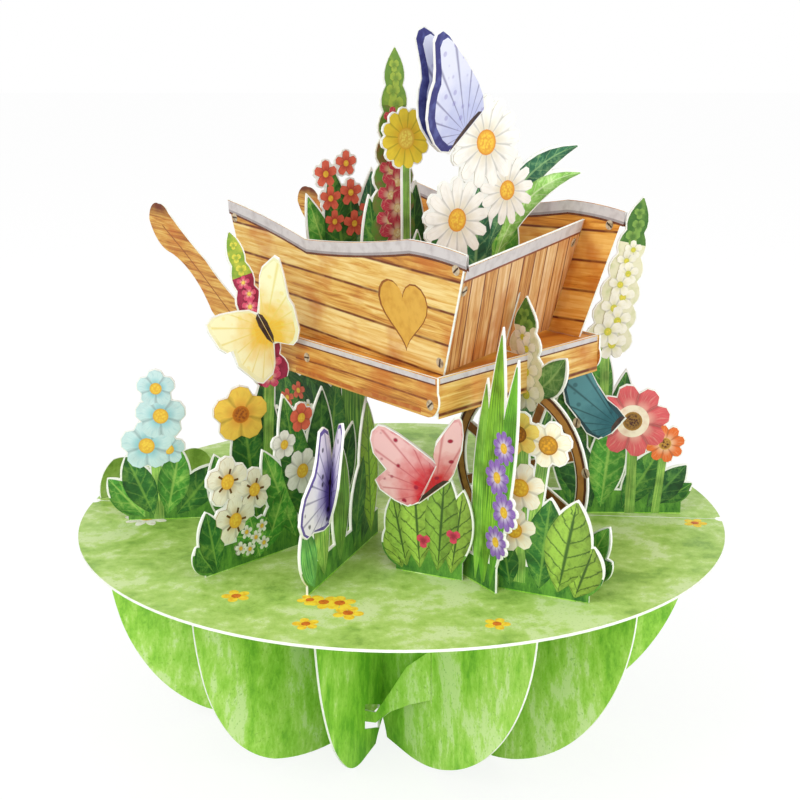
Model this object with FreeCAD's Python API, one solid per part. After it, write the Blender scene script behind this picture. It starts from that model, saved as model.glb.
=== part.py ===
import FreeCAD, Part
import math
import os

# Pop-up card: a round base disc on four V-folded sheets, with cut flower sheets and a
# wheelbarrow of flowers standing on it. Millimetres and degrees.
# A sheet stands on edge. Its azimuth is the way it runs, counted from the front (-Y) towards
# the right (+X). On a sheet, u runs that way and h is the height above the disc's top.

# Stock and fits
CARD = 0.5
DISC_CARD = 0.6
SLIT_FIT = 0.12
SEAT_FIT = 0.1

# Base disc
DISC_RADIUS = 75.0
DISC_HEIGHT = 52.5
CREASE_AZIMUTH = 85.1
CREASE_WIDTH = 0.4
CREASE_DEPTH = 0.2
NOTCH_DEPTH = 1.4
TAB_DROP = 3.0
WALL_HEIGHT = 6.0

# Petals under the disc
FOOT_LENGTH = 8.0
ARCH_RISE = 5.0
PETAL_POINTS = 9

# Wheelbarrow
BARROW_AZIMUTH = 38.0
TRAY_NEAR = -22.5
TRAY_FAR = 24.0
TRAY_LENGTH = 66.5
TRAY_FRONT = 42.2
TRAY_SKEW = 9.0
TRAY_FLARE = 6.0
PANEL_SETBACK = 9.0
FRONT_LEAN = 0.372
REAR_LEAN = 0.1
FLOOR_HEIGHT = 44.4
SIDE_RISE = 25.0
FAR_RISE = 28.4
PANEL_RISE = 22.4
FAR_PANEL_RISE = 25.8
BACK_RISE = 17.0
FRAME_NEAR = -26.0
FRAME_FAR = 28.0
FRAME_RIM = 0.5
BOARD_DEPTH = 8.2
FLOOR_FRONT = 44.6
WHEEL_RADIUS = 19.5
WHEEL_RIM = 3.2
HUB_RADIUS = 4.0
SPOKE_WIDTH = 2.6
SPOKES = 8
AXLE_DISTANCE = 37.5
STRUT_WIDTH = 6.5
STRUT_START = 24.0
REAR_STRUT = (12.0, 20.0)
FAR_REACH = 4.0
LAP_DEPTH = 4.0
SPIKE_TOP = 56.3
WHEEL_LAP = 2.0

# Butterflies: the carrier's face (-1 or 1), u and h of the fold's middle, lean, the fold's half
# length, and how far the left and the right wing are raised from the carrier
BUTTERFLIES = {
    "violet_butterfly": (1, 43.1, 18.0, -9, 6.4, 146, 2),
    "red_butterfly": (-1, 23.3, 18.6, 50, 4.5, 8, 142),
    "yellow_butterfly": (1, 33.2, 47.2, 27, 4.0, 52, 20),
    "teal_butterfly": (-1, 50.5, 21.6, 40, 2.5, 4, 174),
    "top_butterfly": (-1, -0.2, 89.1, 48, 6.1, 6, 162),
}

# Wing outlines from the fold's upper end to its lower end: distance out from it, then along it
TOP_WING = [(5.2, 7.7), (9.6, 7.8), (15.8, 6.8), (22.7, 5.2), (24.8, 4.2), (25.3, 2.6), (24.5, 1.2),
            (19.6, -1.0), (17.3, -2.5), (16.1, -4.4), (14.3, -6.1), (11.8, -7.8), (9.2, -8.5),
            (5.0, -8.5), (2.2, -7.8)]
TEAL_WING = [(3.0, 3.1), (6.1, 3.1), (10.9, 4.5), (15.0, 6.1), (17.2, 5.7), (18.2, 3.7), (18.4, 1.5),
             (17.0, -1.1), (13.6, -3.8), (9.6, -4.7), (4.6, -6.2), (1.4, -5.5)]
WINGS = {
    "violet_butterfly": (
        [(1.7, 9.4), (4.0, 12.8), (6.5, 15.4), (9.0, 15.9), (10.4, 14.5), (9.8, 10.7), (8.8, 6.6),
         (7.8, 2.4), (5.5, -1.1), (2.1, -4.9)],
        [(2.2, 11.5), (3.6, 13.7), (5.8, 14.5), (7.9, 13.8), (8.8, 8.3), (10.0, 5.5), (14.6, 1.3),
         (15.8, -1.5), (16.0, -4.0), (14.2, -6.3), (12.1, -7.2), (9.0, -6.6), (3.1, -7.1)]),
    "red_butterfly": (
        [(1.4, 4.9), (5.6, 4.6), (10.0, 3.5), (13.7, 2.4), (17.0, 1.0), (18.0, -0.1), (17.8, -2.1),
         (16.7, -3.6), (14.0, -5.2), (9.6, -5.4), (9.3, -9.0), (7.0, -9.6), (3.3, -8.5), (0.7, -7.0)],
        [(5.6, 6.6), (8.2, 8.1), (9.9, 10.3), (11.0, 13.9), (11.9, 17.4), (11.4, 18.3), (10.0, 17.7),
         (7.3, 15.4), (4.5, 12.3), (2.2, 8.6), (0.8, 6.4)][::-1]),
    "yellow_butterfly": (
        [(2.9, 8.0), (5.5, 12.4), (7.3, 14.2), (11.4, 15.8), (12.2, 14.8), (11.5, 11.7), (9.7, 5.7),
         (9.9, 3.6), (8.2, -2.1), (6.4, -4.4), (4.8, -5.3), (1.3, -3.9)],
        [(1.6, 5.9), (4.6, 7.6), (8.2, 9.2), (10.8, 9.9), (12.7, 9.4), (13.1, 8.0), (12.9, 3.4),
         (11.8, 1.4), (10.3, 1.2), (10.9, -2.8), (8.6, -8.4), (7.4, -9.5), (4.0, -9.3), (2.3, -7.8)]),
    "teal_butterfly": (TEAL_WING, TEAL_WING),
    "top_butterfly": (TOP_WING, TOP_WING),
}

Z_AXIS = FreeCAD.Vector(0, 0, 1)
ORIGIN = FreeCAD.Vector(0, 0, 0)


def along(azimuth):
    """Unit vector of the way that a sheet runs."""
    angle = math.radians(azimuth)
    return FreeCAD.Vector(math.sin(angle), -math.cos(angle), 0)


def across(azimuth):
    """Unit vector square to a sheet."""
    angle = math.radians(azimuth)
    return FreeCAD.Vector(math.cos(angle), math.sin(angle), 0)


def point(u, h):
    return FreeCAD.Vector(u, 0, h)


def slab(wire):
    """One card thickness of the shape inside a closed wire, centred on its sheet."""
    face = Part.Face(wire)
    face.translate(FreeCAD.Vector(0, -CARD / 2, 0))
    return face.extrude(FreeCAD.Vector(0, CARD, 0))


def polygon(corners):
    points = [point(u, h) for u, h in corners]
    return slab(Part.makePolygon(points + points[:1]))


def rectangle(u_low, u_high, h_low, h_high):
    return polygon([(u_low, h_low), (u_high, h_low), (u_high, h_high), (u_low, h_high)])


def edge(run):
    """Two points make a straight edge, three an arc and more a smooth curve."""
    points = [point(u, h) for u, h in run]
    if len(points) == 2:
        return Part.makeLine(*points)
    if len(points) == 3:
        return Part.Arc(*points).toShape()
    curve = Part.BSplineCurve()
    curve.interpolate(points)
    return curve.toShape()


def outline(*runs):
    """A closed outline of runs of points that meet end to end."""
    return slab(Part.Wire([edge(run) for run in runs]))


def arcs(points):
    """Runs of three points, for a rounded line of arcs through an odd number of points."""
    return [points[i:i + 3] for i in range(0, len(points) - 2, 2)]


def disc(u, h, radius):
    circle = Part.makeCircle(radius, point(u, h), FreeCAD.Vector(0, 1, 0))
    return slab(Part.Wire(circle))


def bloom(u, h, radius, petals=6, depth=0.22):
    """A flower head with a scalloped edge of four straight cuts to a petal."""
    corners = []
    for step in range(4 * petals):
        turn = math.pi * (step / 2 + 1) / petals
        reach = radius * (1 - depth * (0.18, 1.0, 0.18, 0.0)[step % 4])
        corners.append((u + reach * math.cos(turn), h + reach * math.sin(turn)))
    return polygon(corners)


def leaf(u, h, length, width, lean=0.0, bend=0.0):
    """A pointed leaf from its base, leaning towards +u by the angle and bowed by the bend."""
    rise = math.cos(math.radians(lean))
    run = math.sin(math.radians(lean))
    tip = (u + length * run, h + length * rise)
    sides = []
    for side in (bend + width / 2, bend - width / 2):
        sides.append((u + length * run / 2 + side * rise, h + length * rise / 2 - side * run))
    return outline([(u, h), sides[0], tip], [tip, sides[1], (u, h)])


def stem(start, end, width=2.0):
    """A straight strip from one point to another."""
    (u0, h0), (u1, h1) = start, end
    length = math.hypot(u1 - u0, h1 - h0)
    du = (h1 - h0) / length * width / 2
    dh = -(u1 - u0) / length * width / 2
    return polygon([(u0 - du, h0 - dh), (u0 + du, h0 + dh), (u1 + du, h1 + dh), (u1 - du, h1 - dh)])


def spike(start, end, width, bumps=5):
    """A flower spike: a bumpy column that narrows towards its end."""
    (u0, h0), (u1, h1) = start, end
    length = math.hypot(u1 - u0, h1 - h0)
    lift = ((u1 - u0) / length, (h1 - h0) / length)
    right, left = [], []
    for step in range(4 * bumps + 1):
        share = step / (4 * bumps)
        bulge = (0.76, 0.94, 1.0, 0.94)[step % 4]
        half = width / 2 * (1 - 0.62 * share ** 1.4) * bulge
        u = u0 + (u1 - u0) * share
        h = h0 + (h1 - h0) * share
        right.append((u + half * lift[1], h - half * lift[0]))
        left.append((u - half * lift[1], h + half * lift[0]))
    tip = (u1 + lift[0] * width * 0.2, h1 + lift[1] * width * 0.2)
    return polygon(right + [tip] + left[::-1])


def landing(start, end):
    """The middle of an arc from a point down to another that it meets level."""
    (u0, h0), (u1, h1) = start, end
    radius = ((u0 - u1) ** 2 + (h0 - h1) ** 2) / (2 * (h0 - h1))
    half = math.asin((u0 - u1) / radius) / 2
    return u1 + radius * math.sin(half), h1 + radius * (1 - math.cos(half))


def petal(reach, foot, fold, fullness=2.0):
    """The part of a wing under the disc: it starts at the fold and stands on its foot."""
    top = -DISC_CARD - SEAT_FIT
    belly = []
    for step in range(PETAL_POINTS):
        turn = math.pi / 2 * step / (PETAL_POINTS - 1)
        out = max(math.cos(turn), 0.0) ** (2 / fullness)
        down = math.sin(turn) ** (2 / fullness)
        belly.append((foot + (reach - foot) * out, top - (DISC_HEIGHT + top) * down))
    bottom = -DISC_HEIGHT
    belly[-2:] = [landing(belly[-3], (foot, bottom)), (foot, bottom)]
    heel = foot - FOOT_LENGTH
    arch = [(heel, bottom), ((heel + fold) / 2, bottom + ARCH_RISE * 0.6), (fold, bottom + ARCH_RISE)]
    return outline([(fold, top), (reach, top)], *arcs(belly), [(foot, bottom), (heel, bottom)],
                   arch, [arch[-1], (fold, top)])


class Sheet:
    """A flat cut sheet: its shapes are fused, and its tabs pass through slits in a carrier."""

    def __init__(self, azimuth, offset=0.0):
        self.azimuth = azimuth
        self.offset = offset
        self.shapes = []
        self.slits = []

    def add(self, *shapes):
        self.shapes.extend(shapes)
        return self

    def tab(self, start, end, floor=0.0, drop=TAB_DROP):
        """A tab from u = start to end, through the carrier whose top is at h = floor."""
        self.shapes.append(rectangle(start, end, floor - drop, floor + SLIT_FIT + WALL_HEIGHT / 2))
        self.slits.append((start, end, floor))
        return self

    def place(self, shape):
        shape = shape.copy()
        shape.rotate(ORIGIN, Z_AXIS, self.azimuth - 90)
        shape.translate(across(self.azimuth) * self.offset + Z_AXIS * DISC_HEIGHT)
        return shape

    def solid(self):
        shape = self.shapes[0]
        if len(self.shapes) > 1:
            shape = shape.fuse(self.shapes[1:]).removeSplitter()
        return self.place(shape)

    def slit_cutters(self):
        """The slits that this sheet's tabs need in the carrier."""
        cutters = []
        for start, end, floor in self.slits:
            box = Part.makeBox(end - start + 2 * SLIT_FIT, CARD + 2 * SLIT_FIT, 4 * DISC_CARD)
            box.translate(FreeCAD.Vector(start - SLIT_FIT, -CARD / 2 - SLIT_FIT, floor - 3 * DISC_CARD))
            cutters.append(self.place(box))
        return cutters


def wing(azimuth, pivot):
    """An empty sheet that passes through a fold line, and the fold's own u on it."""
    sheet = Sheet(azimuth, across(azimuth).dot(pivot))
    return sheet, along(azimuth).dot(pivot)


def folded(first, second, pivot):
    """Two wings joined along a rounded vertical fold under the disc."""
    low = ARCH_RISE
    high = DISC_HEIGHT - DISC_CARD - SEAT_FIT
    fold = Part.makeCylinder(CARD / 2, high - low, pivot + Z_AXIS * low)
    return first.solid().fuse([second.solid(), fold]).removeSplitter()


def through(sheet, start, end):
    """The neck of a wing in the disc's slit, with its low wall above the disc."""
    sheet.add(rectangle(start, end, -DISC_CARD - 1, WALL_HEIGHT))
    sheet.slits.append((start, end, 0.0))


def left_wings():
    """Blue flowers on the left wing and primroses on the near one."""
    pivot = along(-64) * 1.5
    blue, fold = wing(-84, pivot)
    blue.add(petal(70, 30, fold, 2.4))
    through(blue, 24, 64)
    blue.add(stem((57, 0), (57, 26), 3))
    blue.add(leaf(53, 1, 16, 8, -40), leaf(55, 1, 17, 8, -12))
    blue.add(leaf(58, 1, 16, 8, 22), leaf(60, 0.5, 13, 7, 40))
    blue.add(bloom(56.3, 31.5, 4.6, 5), bloom(55.5, 25, 6, 5), bloom(59, 18, 6.2, 5), bloom(54, 17, 4, 5))
    primrose, fold = wing(-44, pivot)
    primrose.add(petal(62, 24, fold, 2.4))
    through(primrose, 15, 58)
    primrose.add(bloom(51.7, 19.4, 5.6, 5), bloom(44.6, 16, 5, 5))
    primrose.add(bloom(50, 10.5, 5.6, 5), bloom(45, 5.5, 5.2, 6))
    primrose.add(leaf(55, 0.5, 14, 7, 10), leaf(56, 0.5, 8, 6, 32), leaf(42, 1, 15, 7, -24))
    primrose.add(leaf(27, 2, 33, 9, -4), leaf(29, 2, 34, 9, 12))
    primrose.add(leaf(33, 2, 24, 8, 22), leaf(22, 2, 24, 7, -16))
    primrose.add(bloom(31, 29, 3.6, 5), bloom(36, 24, 3.6, 5), bloom(31, 17, 5.5, 7))
    return blue, primrose, pivot


def front_wings():
    """Tulip leaves on the left wing, grass blades and purple daisies on the right one."""
    pivot = along(-20.5) * 12.7
    tulip, fold = wing(-20.5, pivot)
    window = polygon([(24.5, 13.5 - DISC_HEIGHT), (15.4, 8.9 - DISC_HEIGHT),
                      (15.5, 2.9 - DISC_HEIGHT), (24.6, 7.2 - DISC_HEIGHT)])
    tulip.add(petal(51.5, 26, fold).cut(window))
    through(tulip, 16, 54)
    tulip.add(leaf(51, 0.5, 15, 8, 18), leaf(46, 1, 20, 8, 6), leaf(38, 1, 25, 9, -6))
    tulip.add(leaf(30, 1, 21, 8, -16), leaf(26, 1, 16, 7, -34), leaf(20, 1, 32, 11, 4))
    grass, fold = wing(32, pivot)
    grass.add(petal(66, 18, fold, 1.9))
    through(grass, 14, 52)
    grass.add(leaf(45, 0, 44, 6, 4), leaf(48, 0, 55, 6.5, 5), leaf(50, 0, 50, 6, 9), leaf(47.5, 0, 33, 6, -2))
    grass.add(bloom(54, 31, 3.8, 9), bloom(52, 24.5, 4.2, 9))
    grass.add(bloom(54.5, 18, 4.2, 9), bloom(52, 11, 3.8, 9))
    return tulip, grass, pivot


def wheel_face():
    """The barrow's wheel with cut windows between its spokes."""
    rim = disc(AXLE_DISTANCE, WHEEL_RADIUS, WHEEL_RADIUS)
    rim = rim.cut(disc(AXLE_DISTANCE, WHEEL_RADIUS, WHEEL_RADIUS - WHEEL_RIM))
    shapes = [rim, disc(AXLE_DISTANCE, WHEEL_RADIUS, HUB_RADIUS)]
    reach = WHEEL_RADIUS - WHEEL_RIM / 2
    for spoke in range(SPOKES // 2):
        turn = math.pi * (spoke + 0.5) / (SPOKES / 2)
        du = reach * math.cos(turn)
        dh = reach * math.sin(turn)
        start = (AXLE_DISTANCE - du, WHEEL_RADIUS - dh)
        shapes.append(stem(start, (AXLE_DISTANCE + du, WHEEL_RADIUS + dh), SPOKE_WIDTH))
    return shapes


def strut(start, end, low):
    """A strip that holds up the tray's floor."""
    return rectangle(start, end, low, FLOOR_HEIGHT - CARD - SEAT_FIT)


def right_wings():
    """The wheel with a white flower spike, and the red daisy on the right wing."""
    pivot = along(64.5) * 1.5
    wheel, fold = wing(41, pivot)
    wheel.add(petal(71, 24, fold, 1.9))
    through(wheel, 20, 60)
    wheel.add(*wheel_face())
    wheel.add(strut(STRUT_START, STRUT_START + STRUT_WIDTH, 2 * WHEEL_RADIUS - WHEEL_RIM - WHEEL_LAP))
    wheel.add(spike((38.6, 35), (38.6, SPIKE_TOP - 2), 13, 4), leaf(40, 36, 14, 7, 46, 1))
    wheel.add(leaf(56.5, 1, 14, 6, 28), leaf(58, 1, 8, 5, 50))
    daisy, fold = wing(88.5, pivot)
    daisy.add(petal(70, 26, fold, 2.1))
    through(daisy, 29, 66)
    daisy.add(stem((54, 0), (54, 20), 3), stem((60, 0), (61.5, 18), 2.5))
    daisy.add(bloom(53.7, 22.6, 9, 8), bloom(61.5, 17.2, 4.9, 8))
    daisy.add(leaf(45, 1, 22, 9, -20), leaf(47, 1, 24, 9, 6), leaf(52, 1, 18, 8, 30))
    daisy.add(leaf(58, 1.5, 14, 7, 40), leaf(61, 2.6, 9, 5, 56), leaf(40, 1, 33, 9, -3))
    return wheel, daisy, pivot


def back_wings():
    """The two wings behind, with plain leaves and small flowers."""
    pivot = FreeCAD.Vector(0, 1.5, 0)
    right, fold = wing(136, pivot)
    right.add(petal(70, 28, fold))
    through(right, 30, 62)
    right.add(leaf(40, 1, 22, 9, -14), leaf(46, 1, 28, 10, 4), leaf(52, 1, 20, 9, 24), leaf(56, 1, 12, 7, 44))
    right.add(bloom(44, 27, 5, 5), bloom(52, 22, 5, 5))
    left, fold = wing(-130, pivot)
    left.add(petal(70, 28, fold))
    through(left, 18, 46.2)
    leaves = [(35.5, 4), (39.8, 5.6), (44.5, 8.2), (49.4, 11.7), (52.4, 15), (51, 17.8), (47, 20.8),
              (48, 24), (46.2, 27.2), (42, 26.6), (38, 29.4), (34, 27.6), (30, 30.2), (24, 27),
              (20, 24), (19, 12), (20, 4)]
    left.add(rectangle(35.7, 46.2, 0, 12), outline(*arcs(leaves), [leaves[-1], leaves[0]]))
    left.add(strut(*REAR_STRUT, 1), rectangle(REAR_STRUT[0], 22, 1, 8))
    left.slits.append((*REAR_STRUT, 0.0))
    left.add(rectangle(*REAR_STRUT, -TAB_DROP, 2))
    return right, left, pivot


def red_clump_sheet():
    """Short leaves that carry the red butterfly."""
    sheet = Sheet(65.1, -33.75).tab(16, 28)
    sheet.add(low_wall_above(14.5, 29.5))
    sheet.add(leaf(17, 1, 16, 7, -12), leaf(20, 1, 21, 8, -4), leaf(24, 1, 23, 8, 4), leaf(27, 1, 19, 7, 8))
    return sheet.add(leaf(16, 0.6, 10, 6, -20))


def low_wall_above(start, end):
    """A low green strip that rests on the disc."""
    return rectangle(start, end, SEAT_FIT, WALL_HEIGHT)


def yellow_flower_sheet():
    sheet = Sheet(65.1, -33.75).tab(39, 54)
    sheet.add(low_wall_above(37.5, 56.5))
    sheet.add(stem((41.5, 2), (41.5, 30), 4), stem((44, 10), (46.4, 30), 3))
    sheet.add(bloom(41, 33, 4.8, 6), bloom(47.2, 31.5, 5, 6), bloom(41.6, 22, 5.6, 6), bloom(40.6, 13, 5, 6))
    sheet.add(leaf(46, 1, 20, 9, 6), leaf(50, 1, 20.5, 10, 10))
    return sheet.add(leaf(53.5, 0.6, 12, 8, 18), leaf(40, 0.8, 11, 6, -10))


def pink_spike_sheet():
    sheet = Sheet(-64).tab(27, 42)
    sheet.add(low_wall_above(26, 44))
    sheet.add(stem((34, 2), (32.5, 38), 3), spike((31.5, 35), (40.3, 67), 9, 6), bloom(39.5, 28.5, 6.6, 5))
    sheet.add(leaf(30, 1, 28, 9, -6), leaf(36, 1, 30, 9, 6), leaf(41, 0.8, 20, 8, 14), leaf(33, 1, 36, 8, 2))
    return sheet


def lilac_sheet():
    sheet = Sheet(106).tab(45, 58)
    sheet.add(low_wall_above(44, 60))
    sheet.add(stem((52, 2), (51, 40), 3), spike((51.5, 36), (59, 70), 13, 6))
    sheet.add(leaf(49, 1, 32, 8, -4), leaf(54, 1, 30, 9, 6), leaf(57, 0.8, 16, 8, 18), leaf(50, 14, 24, 7, 2))
    return sheet


def hill_sheet():
    """Low rounded hills at the back left of the disc."""
    sheet = Sheet(136.8, 59.1).tab(-40, -14)
    low = SEAT_FIT
    hills = [(-10, low), (-12.5, 4.8), (-19, 6.4), (-26, 6), (-30.5, 4.2), (-36, 8.6), (-40.5, 9),
             (-43.6, 6), (-44.6, low)]
    return sheet.add(outline([(-44.6, low), (-10, low)], *arcs(hills)))


class Leaning(Sheet):
    """A sheet that leans out from its foot, which runs level at the tray's floor."""

    def __init__(self, azimuth, offset, lean):
        super().__init__(azimuth, offset)
        self.lean = lean

    def place(self, shape):
        shape = shape.copy()
        shape.rotate(ORIGIN, FreeCAD.Vector(1, 0, 0), -self.lean)
        shape.translate(Z_AXIS * (FLOOR_HEIGHT + SEAT_FIT))
        return super().place(shape)

    def at(self, u, rise):
        """The point at u and at that rise up the leaning sheet."""
        across_shift = self.offset + rise * math.sin(math.radians(self.lean))
        height = DISC_HEIGHT + FLOOR_HEIGHT + SEAT_FIT + rise * math.cos(math.radians(self.lean))
        return along(self.azimuth) * u + across(self.azimuth) * across_shift + Z_AXIS * height


def tray_side(side):
    """A tray side: a straight foot on the floor under an S-curved top edge."""
    near = side < 0
    sheet = Leaning(BARROW_AZIMUTH, TRAY_NEAR if near else TRAY_FAR, side * TRAY_FLARE)
    front = TRAY_FRONT if near else TRAY_FRONT - TRAY_SKEW
    rear = front - TRAY_LENGTH
    low = (CARD / 2 + SEAT_FIT) * math.tan(math.radians(TRAY_FLARE))
    rise = SIDE_RISE if near else FAR_RISE
    top = [(rear - 8.2, rise + 3.1), (rear + 5.3, rise + 1), (rear + 22.8, rise - 2.8),
           (rear + 39.2, rise - 1.6), (rear + 58.8, rise + 1.1), (rear + 66, rise + 1), (front + 9.3, rise)]
    back = [(rear, low), (rear - 4.5, rise * 0.46), (rear - 6.4, rise * 0.78), top[0]]
    return sheet.add(outline([(front, low), (rear, low)], back, *arcs(top), [top[-1], (front, low)]))


def frame_board(side):
    """A frame board beside the tray's floor, with its handle behind."""
    near = side < 0
    sheet = Sheet(BARROW_AZIMUTH, FRAME_NEAR if near else FRAME_FAR)
    front = FLOOR_FRONT if near else FLOOR_FRONT - TRAY_SKEW
    rear = TRAY_FRONT - TRAY_LENGTH - (0 if near else TRAY_SKEW + FAR_REACH)
    top = FLOOR_HEIGHT + FRAME_RIM
    low = top - BOARD_DEPTH
    nose = [(front, top - 3), (front - 0.6, low + 1), (front - 3, low)]
    under = [(rear + 18, low), (rear, low + 1), (rear - 16.7, low + 8.4), (rear - 22.5, low + 14),
             (rear - 36, low + 20.2), (rear - 45.6, low + 25.4), (rear - 47, low + 27.6)]
    grip = [under[-1], (rear - 45.6, low + 31), (rear - 41.6, low + 32), (rear - 38.4, low + 31.4),
            (rear - 36.6, low + 30)]
    over = [grip[-1], (rear - 28, low + 25), (rear - 18.8, low + 20.3), (rear - 8, low + 14),
            (rear + 6, top + 0.6)]
    return sheet.add(outline([(front - 3, low), under[0]], *arcs(under), *arcs(grip), *arcs(over),
                             [over[-1], (rear + 18, top)], [(rear + 18, top), (front, top)],
                             [(front, top), nose[0]], nose))


def upright(near_point, far_point, low, high):
    """An upright sheet between two plan points, from one height above the disc to another."""
    run = far_point - near_point
    azimuth = math.degrees(math.atan2(run.x, -run.y))
    sheet = Sheet(azimuth, across(azimuth).dot(near_point))
    start = along(azimuth).dot(near_point)
    return sheet.add(rectangle(start, start + math.hypot(run.x, run.y), low, high))


def frame_point(side, u):
    """A plan point on the inner face of a frame board, clear of it by the seat fit."""
    offset = FRAME_NEAR + CARD / 2 + SEAT_FIT if side < 0 else FRAME_FAR - CARD / 2 - SEAT_FIT
    return along(BARROW_AZIMUTH) * u + across(BARROW_AZIMUTH) * offset


def tilted_panel(corners):
    """A four-cornered card panel between the two sides, given foot near, foot far and top near."""
    foot_near, foot_far, top_far, top_near = corners
    normal = (foot_far - foot_near).cross(top_near - foot_near).normalize()
    drop = (top_far - foot_near).dot(normal)
    run = along(BARROW_AZIMUTH)
    top_far = top_far - run * (drop / run.dot(normal))
    wire = Part.makePolygon([foot_near, foot_far, top_far, top_near, foot_near])
    face = Part.Face(wire)
    face.translate(normal * (-CARD / 2))
    return face.extrude(normal * CARD)


def tray_panel(near_side, far_side, near_foot, far_foot, lean, near_rise, far_rise):
    """The front or back panel, clear of both sides, leaning by u per rise."""
    clear = CARD / 2 + SEAT_FIT + CARD / 2
    inset = across(BARROW_AZIMUTH) * clear
    corners = [near_side.at(near_foot, CARD) + inset, far_side.at(far_foot, CARD) - inset,
               far_side.at(far_foot + lean * far_rise, far_rise) - inset,
               near_side.at(near_foot + lean * near_rise, near_rise) + inset]
    return tilted_panel(corners)


def tray_floor(carried, wheel, front_near, front_far):
    """The floor between the frame boards, slit for the sheets that pass through it."""
    rear = TRAY_FRONT - TRAY_LENGTH
    behind = CARD / 2 + SEAT_FIT + CARD
    corners = [frame_point(-1, rear), front_near - along(BARROW_AZIMUTH) * behind,
               front_far - along(BARROW_AZIMUTH) * behind, frame_point(1, rear - TRAY_SKEW)]
    face = Part.Face(Part.makePolygon(corners + corners[:1]))
    face.translate(Z_AXIS * (DISC_HEIGHT + FLOOR_HEIGHT - CARD))
    floor = face.extrude(Z_AXIS * CARD)
    cutters = [cutter for sheet in carried for cutter in sheet.slit_cutters()]
    return floor.cut(cutters + [sheet_slot(wheel, STRUT_START + STRUT_WIDTH, 0, SPIKE_TOP)])


def sheet_slot(sheet, start, low, high):
    """A slot as thick as a sheet and its fits, from u = start outwards between two heights."""
    box = Part.makeBox(DISC_RADIUS, CARD + 2 * SLIT_FIT, high - low)
    box.translate(FreeCAD.Vector(start, -CARD / 2 - SLIT_FIT, low))
    return sheet.place(box)


def crosswise(station):
    """A sheet square to the barrow, standing in the tray at a station along it."""
    return Sheet(BARROW_AZIMUTH + 90, -station)


def red_blossom_sheet():
    sheet = crosswise(-8).tab(-13, 2, FLOOR_HEIGHT)
    base = FLOOR_HEIGHT + SEAT_FIT
    sheet.add(rectangle(-15, 4, base, base + WALL_HEIGHT))
    sheet.add(leaf(-9, base, 33, 8, -20), leaf(-8, base, 38, 9, -9), leaf(-5, base, 36, 9, 4))
    sheet.add(leaf(0, base, 30, 8, 10), leaf(-7, base, 33, 9, -3))
    for u, h, radius in ((-15.2, 79.4, 3.4), (-9.7, 81.5, 3.2), (-14, 74, 3.2), (-8.5, 75, 3.4),
                         (-13, 68.8, 3), (-7.6, 68, 3.4), (-3.6, 71, 3)):
        sheet.add(bloom(u, h, radius, 5))
    return sheet


def red_spike_sheet():
    sheet = crosswise(7).tab(-13, -2, FLOOR_HEIGHT)
    base = FLOOR_HEIGHT + SEAT_FIT
    sheet.add(rectangle(-14, 2, base, base + WALL_HEIGHT), stem((-8, base), (-8, 72), 3.5))
    sheet.add(spike((-8, 66), (-7.6, 104), 13, 7))
    return sheet.add(leaf(-10, base, 32, 8, -8), leaf(-4, base, 34, 8, 4), leaf(0, base, 26, 7, 6))


def dandelion_sheet():
    sheet = crosswise(12).tab(-11, -5, FLOOR_HEIGHT)
    base = FLOOR_HEIGHT + SEAT_FIT
    sheet.add(rectangle(-12, -4, base, base + WALL_HEIGHT), stem((-8, base), (-8.4, 84), 2.4))
    return sheet.add(bloom(-8.4, 87.8, 6.6, 12, 0.14), leaf(-6, base, 24, 6, 2))


def daisy_sheet():
    """White daisies with long leaves that reach over the far side."""
    sheet = crosswise(21).tab(-8, 14, FLOOR_HEIGHT)
    base = FLOOR_HEIGHT + SEAT_FIT
    sheet.add(rectangle(-10, 16, base, base + WALL_HEIGHT))
    sheet.add(leaf(-4, base, 28, 9, -6), leaf(3, base, 34, 10, 2), leaf(9, base, 32, 10, 8))
    sheet.add(bloom(6, 86.9, 10, 13, 0.16), bloom(-1.8, 71.1, 9.2, 13, 0.16), bloom(12.3, 76.5, 8, 13, 0.16))
    return sheet.add(leaf(6, 62, 37, 6.5, 51, -5.5), leaf(8, 58, 35, 6, 53, -6.5))


def half_butterfly(wing, half_length, lift):
    """One wing out from the fold, raised from its carrier by the lift angle."""
    shape = polygon([(0, half_length), *wing, (0, -half_length)])
    shape.rotate(ORIGIN, Z_AXIS, -lift)
    return shape


def butterfly(carrier, wings, side, u, h, lean, half_length, lift_left, lift_right):
    """A butterfly folded along its body, glued to one face of its carrier by the fold."""
    left, right = wings
    wing_right = half_butterfly(right, half_length, lift_right)
    wing_left = half_butterfly(left, half_length, lift_left).mirror(ORIGIN, FreeCAD.Vector(1, 0, 0))
    body = Part.makeCylinder(CARD / 2, 2 * half_length, FreeCAD.Vector(0, 0, -half_length))
    shape = body.fuse([wing_left, wing_right]).removeSplitter()
    if side > 0:
        shape = shape.mirror(ORIGIN, FreeCAD.Vector(0, 1, 0))
    shape.rotate(ORIGIN, FreeCAD.Vector(0, 1, 0), lean)
    shape.translate(FreeCAD.Vector(u, side * (CARD + SEAT_FIT / 2), h))
    return carrier.place(shape)


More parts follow.
